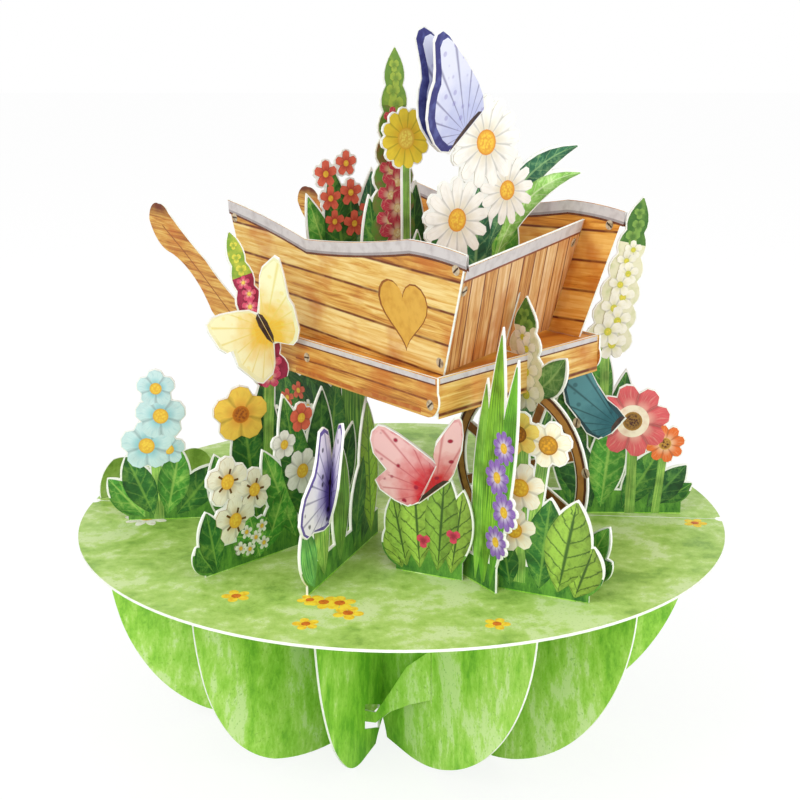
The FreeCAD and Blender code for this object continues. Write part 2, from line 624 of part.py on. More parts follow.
def brace_strap(tulip, grass):
    """A strip that hooks through the window of one front wing and meets the other wing."""
    start = along(tulip.azimuth) * 20 + across(tulip.azimuth) * tulip.offset
    end = along(grass.azimuth) * 31 + across(grass.azimuth) * grass.offset
    run = end - start
    azimuth = math.degrees(math.atan2(run.x, -run.y))
    sheet = Sheet(azimuth, across(azimuth).dot(start))
    first = along(azimuth).dot(start)
    meeting = math.radians(azimuth - grass.azimuth)
    last = along(azimuth).dot(end) - (CARD / 2 + SEAT_FIT) / math.sin(meeting) - CARD / 2 / math.tan(meeting)
    return sheet.add(polygon([(first - 3, -46.6), (first - 3, -43.6), (first + 1.5, -42.8), (first + 6, -36),
                              (first + 11, -28), (last, -22), (last, -34), (first + 12, -37),
                              (first + 6, -41), (first + 1.5, -45.4)]))


def base_disc(carried):
    """The round disc with its crease, the notches at the crease's ends, and the sheets' slits."""
    plate = Part.makeCylinder(DISC_RADIUS, DISC_CARD, Z_AXIS * (DISC_HEIGHT - DISC_CARD))
    crease = Part.makeBox(2 * DISC_RADIUS + 2, CREASE_WIDTH, CREASE_DEPTH)
    crease.translate(FreeCAD.Vector(-DISC_RADIUS - 1, -CREASE_WIDTH / 2, DISC_HEIGHT - CREASE_DEPTH))
    crease.rotate(ORIGIN, Z_AXIS, CREASE_AZIMUTH - 90)
    cutters = [crease]
    for end in (0, 180):
        rim_point = FreeCAD.Vector(DISC_RADIUS, 0, DISC_HEIGHT - 1.5 * DISC_CARD)
        notch = Part.makeCylinder(NOTCH_DEPTH, 2 * DISC_CARD, rim_point)
        notch.rotate(ORIGIN, Z_AXIS, CREASE_AZIMUTH - 90 + end)
        cutters.append(notch)
    for sheet in carried:
        cutters.extend(sheet.slit_cutters())
    return plate.cut(cutters)


def build():
    """Every piece by name."""
    blue, primrose, left_fold = left_wings()
    tulip, grass, front_fold = front_wings()
    wheel, daisy, right_fold = right_wings()
    back_right, back_left, back_fold = back_wings()
    plants = {
        "red_clump_sheet": red_clump_sheet(),
        "yellow_flower_sheet": yellow_flower_sheet(),
        "pink_spike_sheet": pink_spike_sheet(),
        "lilac_sheet": lilac_sheet(),
        "hill_sheet": hill_sheet(),
    }
    in_tray = {
        "red_blossom_sheet": red_blossom_sheet(),
        "red_spike_sheet": red_spike_sheet(),
        "dandelion_sheet": dandelion_sheet(),
        "white_daisy_sheet": daisy_sheet(),
    }
    boards = {"near_frame_board": frame_board(-1), "far_frame_board": frame_board(1)}
    wings = [blue, primrose, tulip, grass, wheel, daisy, back_right, back_left]
    near_side, far_side = tray_side(-1), tray_side(1)
    front = TRAY_FRONT - CARD
    rear = TRAY_FRONT - TRAY_LENGTH + 2 * CARD
    front_panel = tray_panel(near_side, far_side, front, front - TRAY_SKEW - PANEL_SETBACK, FRONT_LEAN,
                             PANEL_RISE, FAR_PANEL_RISE)
    back_panel = tray_panel(near_side, far_side, rear, rear - TRAY_SKEW, -REAR_LEAN, BACK_RISE, BACK_RISE)
    cross_near = frame_point(-1, FLOOR_FRONT - CARD)
    cross_far = frame_point(1, FLOOR_FRONT - TRAY_SKEW - CARD)
    rim = FLOOR_HEIGHT + FRAME_RIM
    lap = rim - LAP_DEPTH
    cross_board = upright(cross_near, cross_far, rim - BOARD_DEPTH, rim)
    wheel_slot = sheet_slot(wheel, 0, 0, lap)
    panel_slot = sheet_slot(wheel, STRUT_START + STRUT_WIDTH, 0, SPIKE_TOP + 1)
    cross_slot = Part.makeBox(4 * DISC_RADIUS, CARD + 2 * SLIT_FIT, LAP_DEPTH + 2 * SLIT_FIT)
    cross_slot.translate(FreeCAD.Vector(-2 * DISC_RADIUS, -CARD / 2 - SLIT_FIT, lap - SLIT_FIT))
    wheel_wings = folded(wheel, daisy, right_fold).cut(cross_board.place(cross_slot))
    pieces = {
        "base_disc": base_disc(wings + list(plants.values())),
        "left_wing_sheet": folded(blue, primrose, left_fold),
        "front_wing_sheet": folded(tulip, grass, front_fold),
        "wheel_wing_sheet": wheel_wings,
        "back_wing_sheet": folded(back_right, back_left, back_fold),
        "brace_strap": brace_strap(tulip, grass).solid(),
        "tray_floor": tray_floor(in_tray.values(), wheel, cross_near, cross_far),
        "tray_near_side": near_side.solid(),
        "tray_far_side": far_side.solid(),
        "tray_front_panel": front_panel.cut(panel_slot),
        "tray_back_panel": back_panel,
        "front_cross_board": cross_board.solid().cut(wheel_slot),
    }
    carriers = {
        "violet_butterfly": tulip,
        "red_butterfly": plants["red_clump_sheet"],
        "yellow_butterfly": plants["pink_spike_sheet"],
        "teal_butterfly": daisy,
        "top_butterfly": in_tray["white_daisy_sheet"],
    }
    for name, carrier in carriers.items():
        pieces[name] = butterfly(carrier, WINGS[name], *BUTTERFLIES[name])
    for group in (plants, in_tray, boards):
        for name, sheet in group.items():
            pieces[name] = sheet.solid()
    return pieces


def centred(pieces):
    """The pieces moved so that the card's plan centre is on the origin and its feet on z = 0."""
    box = Part.makeCompound(list(pieces.values())).BoundBox
    shift = FreeCAD.Vector(-box.Center.x, -box.Center.y, -box.ZMin)
    for shape in pieces.values():
        shape.translate(shift)
    return pieces


os.makedirs("parts", exist_ok=True)
for name, shape in centred(build()).items():
    solid = shape.Solids[0] if len(shape.Solids) == 1 else shape
    solid.exportStep("parts/" + name + ".step")
    print(name, "solids", len(shape.Solids), "valid", shape.isValid(), "volume", round(shape.Volume, 1))
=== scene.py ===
import math

import bmesh
import bpy
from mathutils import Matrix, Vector


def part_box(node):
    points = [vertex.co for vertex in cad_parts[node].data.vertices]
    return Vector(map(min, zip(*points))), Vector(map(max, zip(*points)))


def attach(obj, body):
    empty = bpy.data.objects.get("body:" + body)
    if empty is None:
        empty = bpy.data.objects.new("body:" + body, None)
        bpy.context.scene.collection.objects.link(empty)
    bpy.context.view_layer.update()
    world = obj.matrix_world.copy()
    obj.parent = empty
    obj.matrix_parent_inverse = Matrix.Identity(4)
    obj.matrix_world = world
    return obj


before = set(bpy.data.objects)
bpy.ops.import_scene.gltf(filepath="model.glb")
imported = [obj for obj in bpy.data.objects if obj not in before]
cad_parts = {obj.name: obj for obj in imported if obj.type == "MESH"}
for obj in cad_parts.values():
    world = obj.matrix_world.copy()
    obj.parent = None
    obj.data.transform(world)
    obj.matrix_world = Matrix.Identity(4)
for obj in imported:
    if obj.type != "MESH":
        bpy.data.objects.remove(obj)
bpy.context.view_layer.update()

# The pop-up card's print, its butterflies' wings, its barrow's painted boards and its studio.
# On a sheet, u runs along it, h is up it from the disc's top, and both are in millimetres.

disc_low, disc_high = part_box("base_disc")
MIDDLE = Vector(((disc_low.x + disc_high.x) / 2, (disc_low.y + disc_high.y) / 2, disc_high.z))
UP = Vector((0, 0, 1))
MM = 0.001

# Card stock and ink
CARD = 0.5
SEAT_FIT = 0.1
INK = 0.02
LAYER = 0.012
WHITE_EDGE = 0.32
THIN_END = 0.15
FOLD_GAP = 0.3
FLAT_FACING = 0.94
# Painted shade at a plant sheet's foot: a dark green band from the first height to the second, in mm above
# the disc
SHADE_BAND_FOOT = 0.2
SHADE_BAND_TOP = 5.6

# Folded sheets: each fold's azimuth and distance from the middle, then the azimuths of the sheets
LEFT_FOLD = (-64, 1.5)
FRONT_FOLD = (-20.5, 12.7)
WHEEL_FOLD = (64.5, 1.5)
BACK_FOLD = (180, 1.5)
BLUE_FLOWERS, PRIMROSES = -84, -44
TULIP, GRASS = -20.5, 32
WHEEL, RED_DAISY = 41, 88.5
BACK_LEAVES, HEDGE = 136, -130

# Single sheets: azimuth and offset
PINK_SPIKE = (-64, 0.0)
LILAC = (106, 0.0)
RED_CLUMP = (65.1, -33.75)

# Barrow
BARROW = 38.0
FLOOR_HEIGHT = 44.4
TRAY_FOOT = FLOOR_HEIGHT + SEAT_FIT
TRAY_NEAR = -22.5
TRAY_FAR = 24.0
TRAY_FLARE = 6.0
TRAY_FRONT = 42.2
TRAY_LENGTH = 66.5
TRAY_SKEW = 9.0
NEAR_RISE = 25.0
FAR_RISE = 28.4
FRAME_NEAR = -26.0
FRAME_FAR = 28.0
FRAME_FRONT = 44.1
FRAME_LINE = 43.6
FRAME_RIM = 44.2
PANEL_SETBACK = 9.0
PANEL_RISE = 22.4
FAR_PANEL_RISE = 25.8
FRONT_LEAN = 0.372
RIM_DROP = 1.42
RIM_HALF = 1.3
RIM_LINE_DROP = 2.85
RIM_LINE_HALF = 0.35
RIM_SHADE_DROP = 2.45
RIM_SHADE_HALF = 0.25
HEART = (31.2, 11.5, 7.9)
CARVED_HEART = (31.4, 11.5, 7.45)

# Ink colours, main then drawn lines
DARK_LEAF = ("#2E6B2B", "#8DBB4C")
DEEP_LEAF = ("#24552A", "#6FA347")
MID_LEAF = ("#4A9434", "#BBDD6E")
LIME_LEAF = ("#A4D440", "#42802C")
TEAL_LEAF = ("#2C6848", "#A5CF86")
OLIVE_LEAF = ("#94B646", "#2C4A22")
BLADE = ("#93CB3C", "#447F28")
SKY = ("#CDE9EA", "#5FBBC8")
CREAM = ("#F7F3DC", "#C7A95A")
WHITE = ("#FBF9F1", "#B9B29A")
CORAL = ("#EA6F55", "#B8342A")
ROSE = ("#DE5E63", "#F3DFC6")
ORANGE = ("#E8702C", "#F4D9B0")
VIOLET = ("#9268C2", "#F1EAF5")
CRIMSON = ("#CC3B52", "#F4E4BC")
PALE_BLUE = ("#A9C7E0", "#4E79B0")
YOLK = ("#F4D04A", "#E09E2E")
GILT = ("#FBF6DC", "#EEBC34")
AMBER_EYE = ("#F4CE3C", "#D28A1E")
GREY_METAL = ("#CFC9C8", "#AFA6A5")
BROWN_LINE = ("#6E3B22", "#3E2014")
CREAM_SPIKE = (("#E2DFBE", "#B9C47E"), ("#F4F1DF", "#D9D59A"), ("#E3D24A", "#A9B83C"),
               ("#7FA84A", "#3F6E2A"))

# Card colours, dark to light, and a board's burnt patches last
GREENS = ("#82AC46", "#A2C95C", "#B6D676", "#CCE29E")
# Petal greens: the print's strong green, mixed lighter as painted light to make up for the disc's shadow on
# the petals
PETAL_GREENS_PAINTED_LIGHTER = ("#74BA34", "#A0DB4C", "#BCE96E", "#D9F4A8")
PINE = ("#A0602A", "#CE9240", "#E1B55E", "#F0D48E", "#C0661F")
FRONT_PINE = ("#96562A", "#C48846", "#DAA96C", "#EAC696", "#BA651F")
DARK_PINE = ("#B0641E", "#D89034", "#E8AC50", "#F2C26C", "#B8601A")


def linear(code):
    """An sRGB hex colour as linear red, green, blue and alpha."""
    values = [int(code[i:i + 2], 16) / 255 for i in (1, 3, 5)]
    return tuple(v / 12.92 if v <= 0.04045 else ((v + 0.055) / 1.055) ** 2.4 for v in values) + (1.0,)


def node(tree, kind, inputs=(), out=0, stops=(), **settings):
    """Adds a node with its settings, its colour stops and the values or links of its inputs.

    Inputs are a row for the first sockets, or a dictionary by name or number, and a list there links
    several sockets to one. It gives one output, or all of them where out is None."""
    whole_name = kind.startswith(("GeometryNode", "FunctionNode", "NodeGroup"))
    made = tree.nodes.new(kind if whole_name else "ShaderNode" + kind)
    for name, value in settings.items():
        setattr(made, name, value)
    for key, values in inputs.items() if isinstance(inputs, dict) else enumerate(inputs):
        for value in values if isinstance(values, list) else [values]:
            if isinstance(value, bpy.types.NodeSocket):
                tree.links.new(value, made.inputs[key])
            else:
                made.inputs[key].default_value = value
    if stops:
        elements = made.color_ramp.elements
        while len(elements) < len(stops):
            elements.new(1.0)
        for element, (position, colour) in zip(elements, stops):
            element.position = position
            element.color = linear(colour)
    return made.outputs if out is None else made.outputs[out]


def new_material(name):
    material = bpy.data.materials.new(name)
    material.use_nodes = True
    material.node_tree.nodes.clear()
    return material, material.node_tree


def inked(tree, ground, ink, amount, ramp):
    """One ink over another, by an amount that the ramp takes from its first two values to its last two."""
    share = node(tree, "MapRange", (amount, *ramp))
    return node(tree, "Mix", {0: share, 6: ground, 7: ink}, 2, data_type="RGBA")


def shaded(tree, ink, amount, ramp):
    """An ink made darker or lighter, by an amount and a ramp as in inked."""
    share = node(tree, "MapRange", (amount, *ramp))
    return node(tree, "VectorMath", {0: ink, "Scale": share}, operation="SCALE")


def coated(tree, colour, gloss=(0.40, 0.56), relief=0.15):
    """Ends a material as satin coated card: fine fibres of 0.4 mm and patches of sheen."""
    place = node(tree, "TexCoord", out="Object")
    fibre = node(tree, "TexNoise", {"Vector": place, "Scale": 1 / (0.4 * MM), "Detail": 3.0})
    sheen = node(tree, "TexNoise", {"Vector": place, "Scale": 1 / (9 * MM), "Detail": 2.0})
    rough = node(tree, "MapRange", (sheen, 0.3, 0.7, *gloss))
    bump = node(tree, "Bump", {"Strength": relief, "Distance": 0.05 * MM, "Height": fibre})
    shader = node(tree, "BsdfPrincipled", {"Base Color": colour, "Roughness": rough, "Normal": bump,
                                           "Specular IOR Level": 0.3})
    node(tree, "OutputMaterial", {"Surface": shader}, None)


def print_on(tree, ink, directions):
    """Ink on a sheet's flat faces, and the white core of the card where it is cut."""
    normal = node(tree, "TexCoord", out="Normal")
    facing = None
    for direction in directions:
        dot = node(tree, "VectorMath", (normal, direction), "Value", operation="DOT_PRODUCT")
        size = node(tree, "Math", [dot], operation="ABSOLUTE")
        facing = size if facing is None else node(tree, "Math", (facing, size), operation="MAXIMUM")
    place = node(tree, "TexCoord", out="Object")
    wear = node(tree, "TexNoise", {"Vector": place, "Scale": 1 / (1.5 * MM)})
    core = node(tree, "ValToRGB", [wear], stops=[(0.3, "#E9ECE0"), (0.7, "#FAFBF6")])
    flat = node(tree, "Math", (facing, FLAT_FACING), operation="GREATER_THAN")
    return node(tree, "Mix", {0: flat, 6: core, 7: ink}, 2, data_type="RGBA")


def flat_directions(name, least):
    """The directions that a node's large flat faces look in, opposite ones counted once."""
    areas = {}
    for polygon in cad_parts[name].data.polygons:
        normal = polygon.normal
        if (round(normal.x, 1), round(normal.y, 1), round(normal.z, 1)) < (0, 0, 0):
            normal = -normal
        key = (round(normal.x, 2), round(normal.y, 2), round(normal.z, 2))
        areas[key] = areas.get(key, 0.0) + polygon.area
    total = sum(areas.values())
    return [key for key, area in areas.items() if area > least * total]


def bare_card():
    """Unprinted coated card: white, with faint clouds 6 mm wide from handling."""
    material, tree = new_material("Coated card, bare")
    place = node(tree, "TexCoord", out="Object")
    cloud = node(tree, "TexNoise", {"Vector": place, "Scale": 1 / (6 * MM), "Detail": 3.0})
    coated(tree, node(tree, "ValToRGB", [cloud], stops=[(0.35, "#ECEDE6"), (0.65, "#FBFBF7")]))
    return material


def meadow_print(name, directions, stretch, colours, plants=True):
    """Offset print of watercolour green: washes 15 mm wide, 3 mm mottling and 0.7 mm specks.

    On a sheet with plants, the low wall above the disc turns dark green, as painted shade where the sheet
    stands on the disc, and the card above it is bare, so that each printed plant keeps its white border."""
    material, tree = new_material(name)
    place = node(tree, "TexCoord", out="Object")
    drawn = node(tree, "Mapping", {"Vector": place, "Scale": stretch})
    wide = node(tree, "TexNoise", {"Vector": drawn, "Scale": 1 / (15 * MM), "Detail": 5.0,
                                   "Roughness": 0.6, "Distortion": 0.5})
    fine = node(tree, "TexNoise", {"Vector": drawn, "Scale": 1 / (2.8 * MM), "Detail": 8.0,
                                   "Roughness": 0.78})
    level = node(tree, "Math", (fine, 0.75, wide), operation="MULTIPLY_ADD")
    wash = node(tree, "ValToRGB", [level], stops=[*zip((0.7, 0.83, 0.93, 1.0), colours)])
    speck = node(tree, "TexNoise", {"Vector": place, "Scale": 1 / (0.7 * MM), "Detail": 2.0})
    ink = inked(tree, wash, linear(colours[0]), speck, (0.6, 0.72, 0.0, 0.5))
    if plants:
        # A dark green band just above the disc, painted shade at the sheet's foot, then bare card above it
        height = node(tree, "SeparateXYZ", [place], "Z")
        wall = node(tree, "ValToRGB", [fine], stops=[(0.38, "#2C6628"), (0.62, "#6BA63C")])
        for foot, colour in ((SHADE_BAND_FOOT, wall), (SHADE_BAND_TOP, linear("#F4F5EE"))):
            above = node(tree, "Math", (height, MIDDLE.z + foot * MM), operation="GREATER_THAN")
            ink = node(tree, "Mix", {0: above, 6: ink, 7: colour}, 2, data_type="RGBA")
    coated(tree, print_on(tree, ink, directions))
    return material


def board_print(name, directions, azimuth, plank, upright, tilt, tones):
    """Offset print of varnished pine boards: planks, long grain of 0.9 mm, burnt patches and gaps.

    Real pine grain is finer; it is drawn this coarse, as in the print, so that it shows."""
    material, tree = new_material(name)
    place = node(tree, "TexCoord", out="Object")
    turned = node(tree, "Mapping", {"Vector": place, "Rotation": (0, 0, math.radians(90 - azimuth))})
    axes = node(tree, "SeparateXYZ", [turned], None)
    long_way, cross_way = (axes["Z"], axes["X"]) if upright else (axes["X"], axes["Z"])
    level = node(tree, "Math", (long_way, tilt, cross_way), operation="MULTIPLY_ADD")
    board = node(tree, "Math", (level, plank * MM), operation="DIVIDE")
    number = node(tree, "Math", [board], operation="FLOOR")
    tone = node(tree, "TexWhiteNoise", {"W": number}, "Value", noise_dimensions="1D")
    stretched = node(tree, "CombineXYZ", (long_way, level, number))
    drawn = node(tree, "Mapping", {"Vector": stretched, "Scale": (1 / (14 * MM), 1 / (0.9 * MM), 3.0)})
    grain = node(tree, "TexNoise", {"Vector": drawn, "Scale": 1.0, "Detail": 5.0, "Roughness": 0.6,
                                    "Distortion": 0.7})
    shade = node(tree, "Math", (tone, 0.22, grain), operation="MULTIPLY_ADD")
    wood = node(tree, "ValToRGB", [shade], stops=[*zip((0.38, 0.52, 0.64, 0.8), tones)])
    cloud = node(tree, "TexNoise", {"Vector": place, "Scale": 1 / (11 * MM), "Detail": 3.0})
    wood = inked(tree, wood, linear(tones[4]), cloud, (0.5, 0.68, 0.0, 0.66))
    near_gap = node(tree, "Math", (board, 0.5), operation="PINGPONG")
    gap = node(tree, "MapRange", (near_gap, 0.02, 0.06, 1.0, 0.0))
    broken = node(tree, "TexNoise", {"Vector": place, "Scale": 1 / (5 * MM)})
    broken = node(tree, "MapRange", (broken, 0.36, 0.5, 0.75, 1.0))
    gap = node(tree, "Math", (gap, broken), operation="MULTIPLY")
    wood = node(tree, "Mix", {0: gap, 6: wood, 7: linear("#6B2F16")}, 2, data_type="RGBA")
    coated(tree, print_on(tree, wood, directions), gloss=(0.46, 0.62), relief=0.2)
    return material


def motif(name):
    """A new print whose main and line colours come from its piece's attributes."""
    material, tree = new_material("Offset print, " + name)
    tint = node(tree, "Attribute", out="Color", attribute_name="tint")
    line = node(tree, "Attribute", out="Color", attribute_name="line")
    return material, tree, tint, line, node(tree, "TexCoord", out="Object")


def motif_axes(tree):
    """A printed motif's own coordinates: X across it and Y along it or out from its middle."""
    return node(tree, "SeparateXYZ", [node(tree, "UVMap", uv_map="motif")], None)


def leaf_print(name, veins, midrib):
    """Watercolour leaf in offset print: a midrib, side veins 3 mm apart and mottled washes."""
    material, tree, tint, line, place = motif(name)
    axes = motif_axes(tree)
    side = node(tree, "Math", [axes["X"]], operation="ABSOLUTE")
    wash = node(tree, "TexNoise", {"Vector": place, "Scale": 1 / (3.4 * MM), "Detail": 7.0,
                                   "Roughness": 0.74, "Distortion": 0.5})
    slant = node(tree, "Math", (side, -0.34, axes["Y"]), operation="MULTIPLY_ADD")
    slant = node(tree, "Math", (wash, 0.25, slant), operation="MULTIPLY_ADD")
    steps = node(tree, "Math", (slant, 0.3), operation="DIVIDE")
    vein = node(tree, "Math", (steps, 0.5), operation="PINGPONG")
    vein = node(tree, "MapRange", (vein, 0.02, 0.1, veins, 0.0))
    rib = node(tree, "MapRange", (side, 0.04, 0.12, midrib, 0.0))
    drawn = node(tree, "Math", (vein, rib), operation="MAXIMUM")
    colour = inked(tree, tint, line, wash, (0.5, 0.7, 0.0, 0.62))
    colour = shaded(tree, colour, wash, (0.32, 0.52, 0.5, 1.1))
    colour = node(tree, "Mix", {0: drawn, 6: colour, 7: line}, 2, data_type="RGBA")
    colour = shaded(tree, colour, axes["X"], (-0.15, 0.25, 1.12, 0.84))
    colour = shaded(tree, colour, side, (0.65, 1.0, 1.0, 0.72))
    coated(tree, colour)
    return material


def blade_print():
    """Offset print of grass: long fibres 0.5 mm wide from root to tip."""
    material, tree, tint, line, place = motif("grass blade")
    axes = motif_axes(tree)
    way = node(tree, "CombineXYZ", (axes["X"], axes["Y"]))
    way = node(tree, "Mapping", {"Vector": way, "Scale": (5.0, 0.5, 1.0)})
    fibre = node(tree, "TexNoise", {"Vector": way, "Scale": 1.6, "Detail": 4.0, "Roughness": 0.6})
    colour = inked(tree, tint, line, fibre, (0.4, 0.62, 0.0, 1.0))
    wash = node(tree, "TexNoise", {"Vector": place, "Scale": 1 / (5 * MM), "Detail": 5.0})
    coated(tree, shaded(tree, colour, wash, (0.35, 0.6, 0.6, 1.15)))
    return material


def petal_print():
    """Offset print of petals: fine streaks from the middle, a shadow between petals."""
    material, tree, tint, line, place = motif("watercolour petals")
    axes = motif_axes(tree)
    side = node(tree, "Math", [axes["X"]], operation="ABSOLUTE")
    way = node(tree, "CombineXYZ", (axes["X"], axes["Y"]))
    way = node(tree, "Mapping", {"Vector": way, "Scale": (4.0, 1.0, 1.0)})
    streak = node(tree, "TexNoise", {"Vector": way, "Scale": 2.2, "Detail": 3.0})
    streak = node(tree, "MapRange", (streak, 0.5, 0.8, 0.0, 0.4))
    heart = node(tree, "MapRange", (axes["Y"], 0.28, 0.7, 0.75, 0.0))
    drawn = node(tree, "Math", (streak, heart), operation="MAXIMUM")
    colour = node(tree, "Mix", {0: drawn, 6: tint, 7: line}, 2, data_type="RGBA")
    seam = node(tree, "MapRange", (side, 0.75, 0.98, 0.0, 0.32))
    shade = node(tree, "TexNoise", {"Vector": place, "Scale": 1 / (2.5 * MM), "Detail": 3.0})
    shade = node(tree, "MapRange", (shade, 0.3, 0.6, 0.88, 1.0))
    seam = node(tree, "Math", (shade, seam), operation="SUBTRACT")
    coated(tree, node(tree, "VectorMath", {0: colour, "Scale": seam}, operation="SCALE"))
    return material


def stipple_print():
    """Offset print of a flower's domed middle: grains of 0.5 mm, darker round the rim."""
    material, tree, tint, line, place = motif("stippled flower middle")
    grain = node(tree, "TexVoronoi", {"Vector": place, "Scale": 1 / (0.55 * MM)}, "Distance")
    grain = node(tree, "MapRange", (grain, 0.3, 0.7, 0.0, 0.6))
    rim = node(tree, "MapRange", (motif_axes(tree)["Y"], 0.6, 1.0, 0.0, 0.9))
    drawn = node(tree, "Math", (grain, rim), operation="MAXIMUM")
    coated(tree, node(tree, "Mix", {0: drawn, 6: tint, 7: line}, 2, data_type="RGBA"))
    return material


def wash_print():
    """Offset print of a plain painted shape, with blotches of its second colour 2 mm wide."""
    material, tree, tint, line, place = motif("blotted wash")
    blot = node(tree, "TexNoise", {"Vector": place, "Scale": 1 / (2 * MM), "Detail": 4.0})
    coated(tree, inked(tree, tint, line, blot, (0.45, 0.75, 0.0, 0.7)))
    return material


def wing_print(name, pale, root, vein, spot, spots):
    """Offset print of a butterfly wing: a stained root, fine veins from it and spots 2.6 mm apart."""
    material, tree = new_material("Offset print, " + name)
    uv = node(tree, "UVMap", uv_map="motif")
    axes = node(tree, "SeparateXYZ", [uv], None)
    reach = node(tree, "VectorMath", [uv], "Value", operation="LENGTH")
    turn = node(tree, "Math", (axes["Y"], axes["X"]), operation="ARCTAN2")
    place = node(tree, "TexCoord", out="Object")
    cloud = node(tree, "TexNoise", {"Vector": place, "Scale": 1 / (3 * MM), "Detail": 4.0})
    spread = node(tree, "Math", (cloud, 0.5, reach), operation="MULTIPLY_ADD")
    colour = inked(tree, linear(pale), linear(root), spread, (0.42, 0.85, 1.0, 0.0))
    comb = node(tree, "Math", (turn, 3.4), operation="MULTIPLY")
    comb = node(tree, "Math", (comb, 0.5), operation="PINGPONG")
    colour = inked(tree, colour, linear(vein), comb, (0.02, 0.1, 0.6, 0.0))
    dots = node(tree, "TexVoronoi", {"Vector": place, "Scale": 1 / (2.6 * MM)}, "Distance")
    colour = inked(tree, colour, linear(spot), dots, (0.16, 0.26, spots, 0.0))
    coated(tree, colour)
    return material


def drawn_ink(name, colour, blot):
    """Offset print in one colour with 1 mm blots of a second one, as ink pools on coated card."""
    material, tree = new_material("Offset print, " + name)
    place = node(tree, "TexCoord", out="Object")
    cloud = node(tree, "TexNoise", {"Vector": place, "Scale": 1 / (1.0 * MM), "Detail": 3.0})
    coated(tree, node(tree, "ValToRGB", [cloud], stops=[(0.42, colour), (0.66, blot)]))
    return material


PRINTS = {"leaf": leaf_print("watercolour leaf", 0.3, 0.48), "veined": leaf_print("veined leaf", 0.8, 0.9),
          "blade": blade_print(), "petals": petal_print(), "middle": stipple_print(), "wash": wash_print()}

# Each board's grain azimuth, plank width, whether planks stand upright, their tilt and their tones
BOARDS = {
    "tray_near_side": (BARROW, 6.6, False, 0.045, PINE),
    "tray_far_side": (BARROW, 6.6, False, -0.045, DARK_PINE),
    "tray_front_panel": (BARROW + 90, 5.2, True, 0.2, FRONT_PINE),
    "tray_back_panel": (BARROW + 90, 5.2, True, 0.0, PINE),
    "tray_floor": (BARROW, 5.2, False, 0.0, DARK_PINE),
    "front_cross_board": (BARROW + 90, 9.0, False, 0.0, PINE),
    "near_frame_board": (BARROW, 60.0, False, 0.02, PINE),
    "far_frame_board": (BARROW, 60.0, False, 0.02, PINE),
}
EVEN, DRAWN_OUT = (1, 1, 1), (1, 1, 0.4)
for name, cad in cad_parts.items():
    directions = flat_directions(name, 0.02 if name == "brace_strap" else 0.1)
    if name in BOARDS:
        card = board_print("Coated card, pine print, " + name, directions, *BOARDS[name])
    elif name in ("base_disc", "hill_sheet"):
        card = meadow_print("Coated card, meadow print, " + name, directions, EVEN, GREENS, False)
    elif name == "brace_strap":
        # The petal greens here are the print's green mixed lighter, as painted light
        card = meadow_print("Coated card, petal print, " + name, directions, DRAWN_OUT, PETAL_GREENS_PAINTED_LIGHTER, False)
    elif name.endswith("butterfly"):
        card = bare_card()
    else:
        # Plant sheets: meadow green print, with painted shade in a dark green band at the foot
        card = meadow_print("Coated card, leaf print, " + name, directions, DRAWN_OUT, PETAL_GREENS_PAINTED_LIGHTER)
    cad.data.materials.clear()
    cad.data.materials.append(card)


def along(azimuth):
    return Vector((math.sin(math.radians(azimuth)), -math.cos(math.radians(azimuth)), 0))


def across(azimuth):
    return Vector((math.cos(math.radians(azimuth)), math.sin(math.radians(azimuth)), 0))


class Face:
    """One printed side of a flat piece: an origin and three directions, in millimetres."""

    def __init__(self, origin, right, upward, outward):
        self.origin, self.right, self.upward, self.outward = origin, right, upward, outward

    def point(self, u, h, out):
        place = self.right * u + self.upward * h + self.outward * (CARD / 2 + out)
        return MIDDLE + (self.origin + place) * MM


def sheet_faces(azimuth, offset=0.0, lean=0.0, base=0.0):
    """The two sides of a sheet that stands on the disc, or leans out from its foot."""
    turn = math.radians(lean)
    square = across(azimuth)
    upward = square * math.sin(turn) + UP * math.cos(turn)
    outward = square * math.cos(turn) - UP * math.sin(turn)
    origin = square * offset + UP * base
    return [Face(origin, along(azimuth), upward, outward * side) for side in (1, -1)]


def wing_faces(azimuth, fold):
    """The two sides of a folded sheet's wing, which passes through the fold's line."""
    fold_azimuth, distance = fold
    return sheet_faces(azimuth, distance * math.sin(math.radians(fold_azimuth - azimuth)))


def crosswise_faces(station):
    """The two sides of a sheet across the tray."""
    return sheet_faces(BARROW + 90, -station)


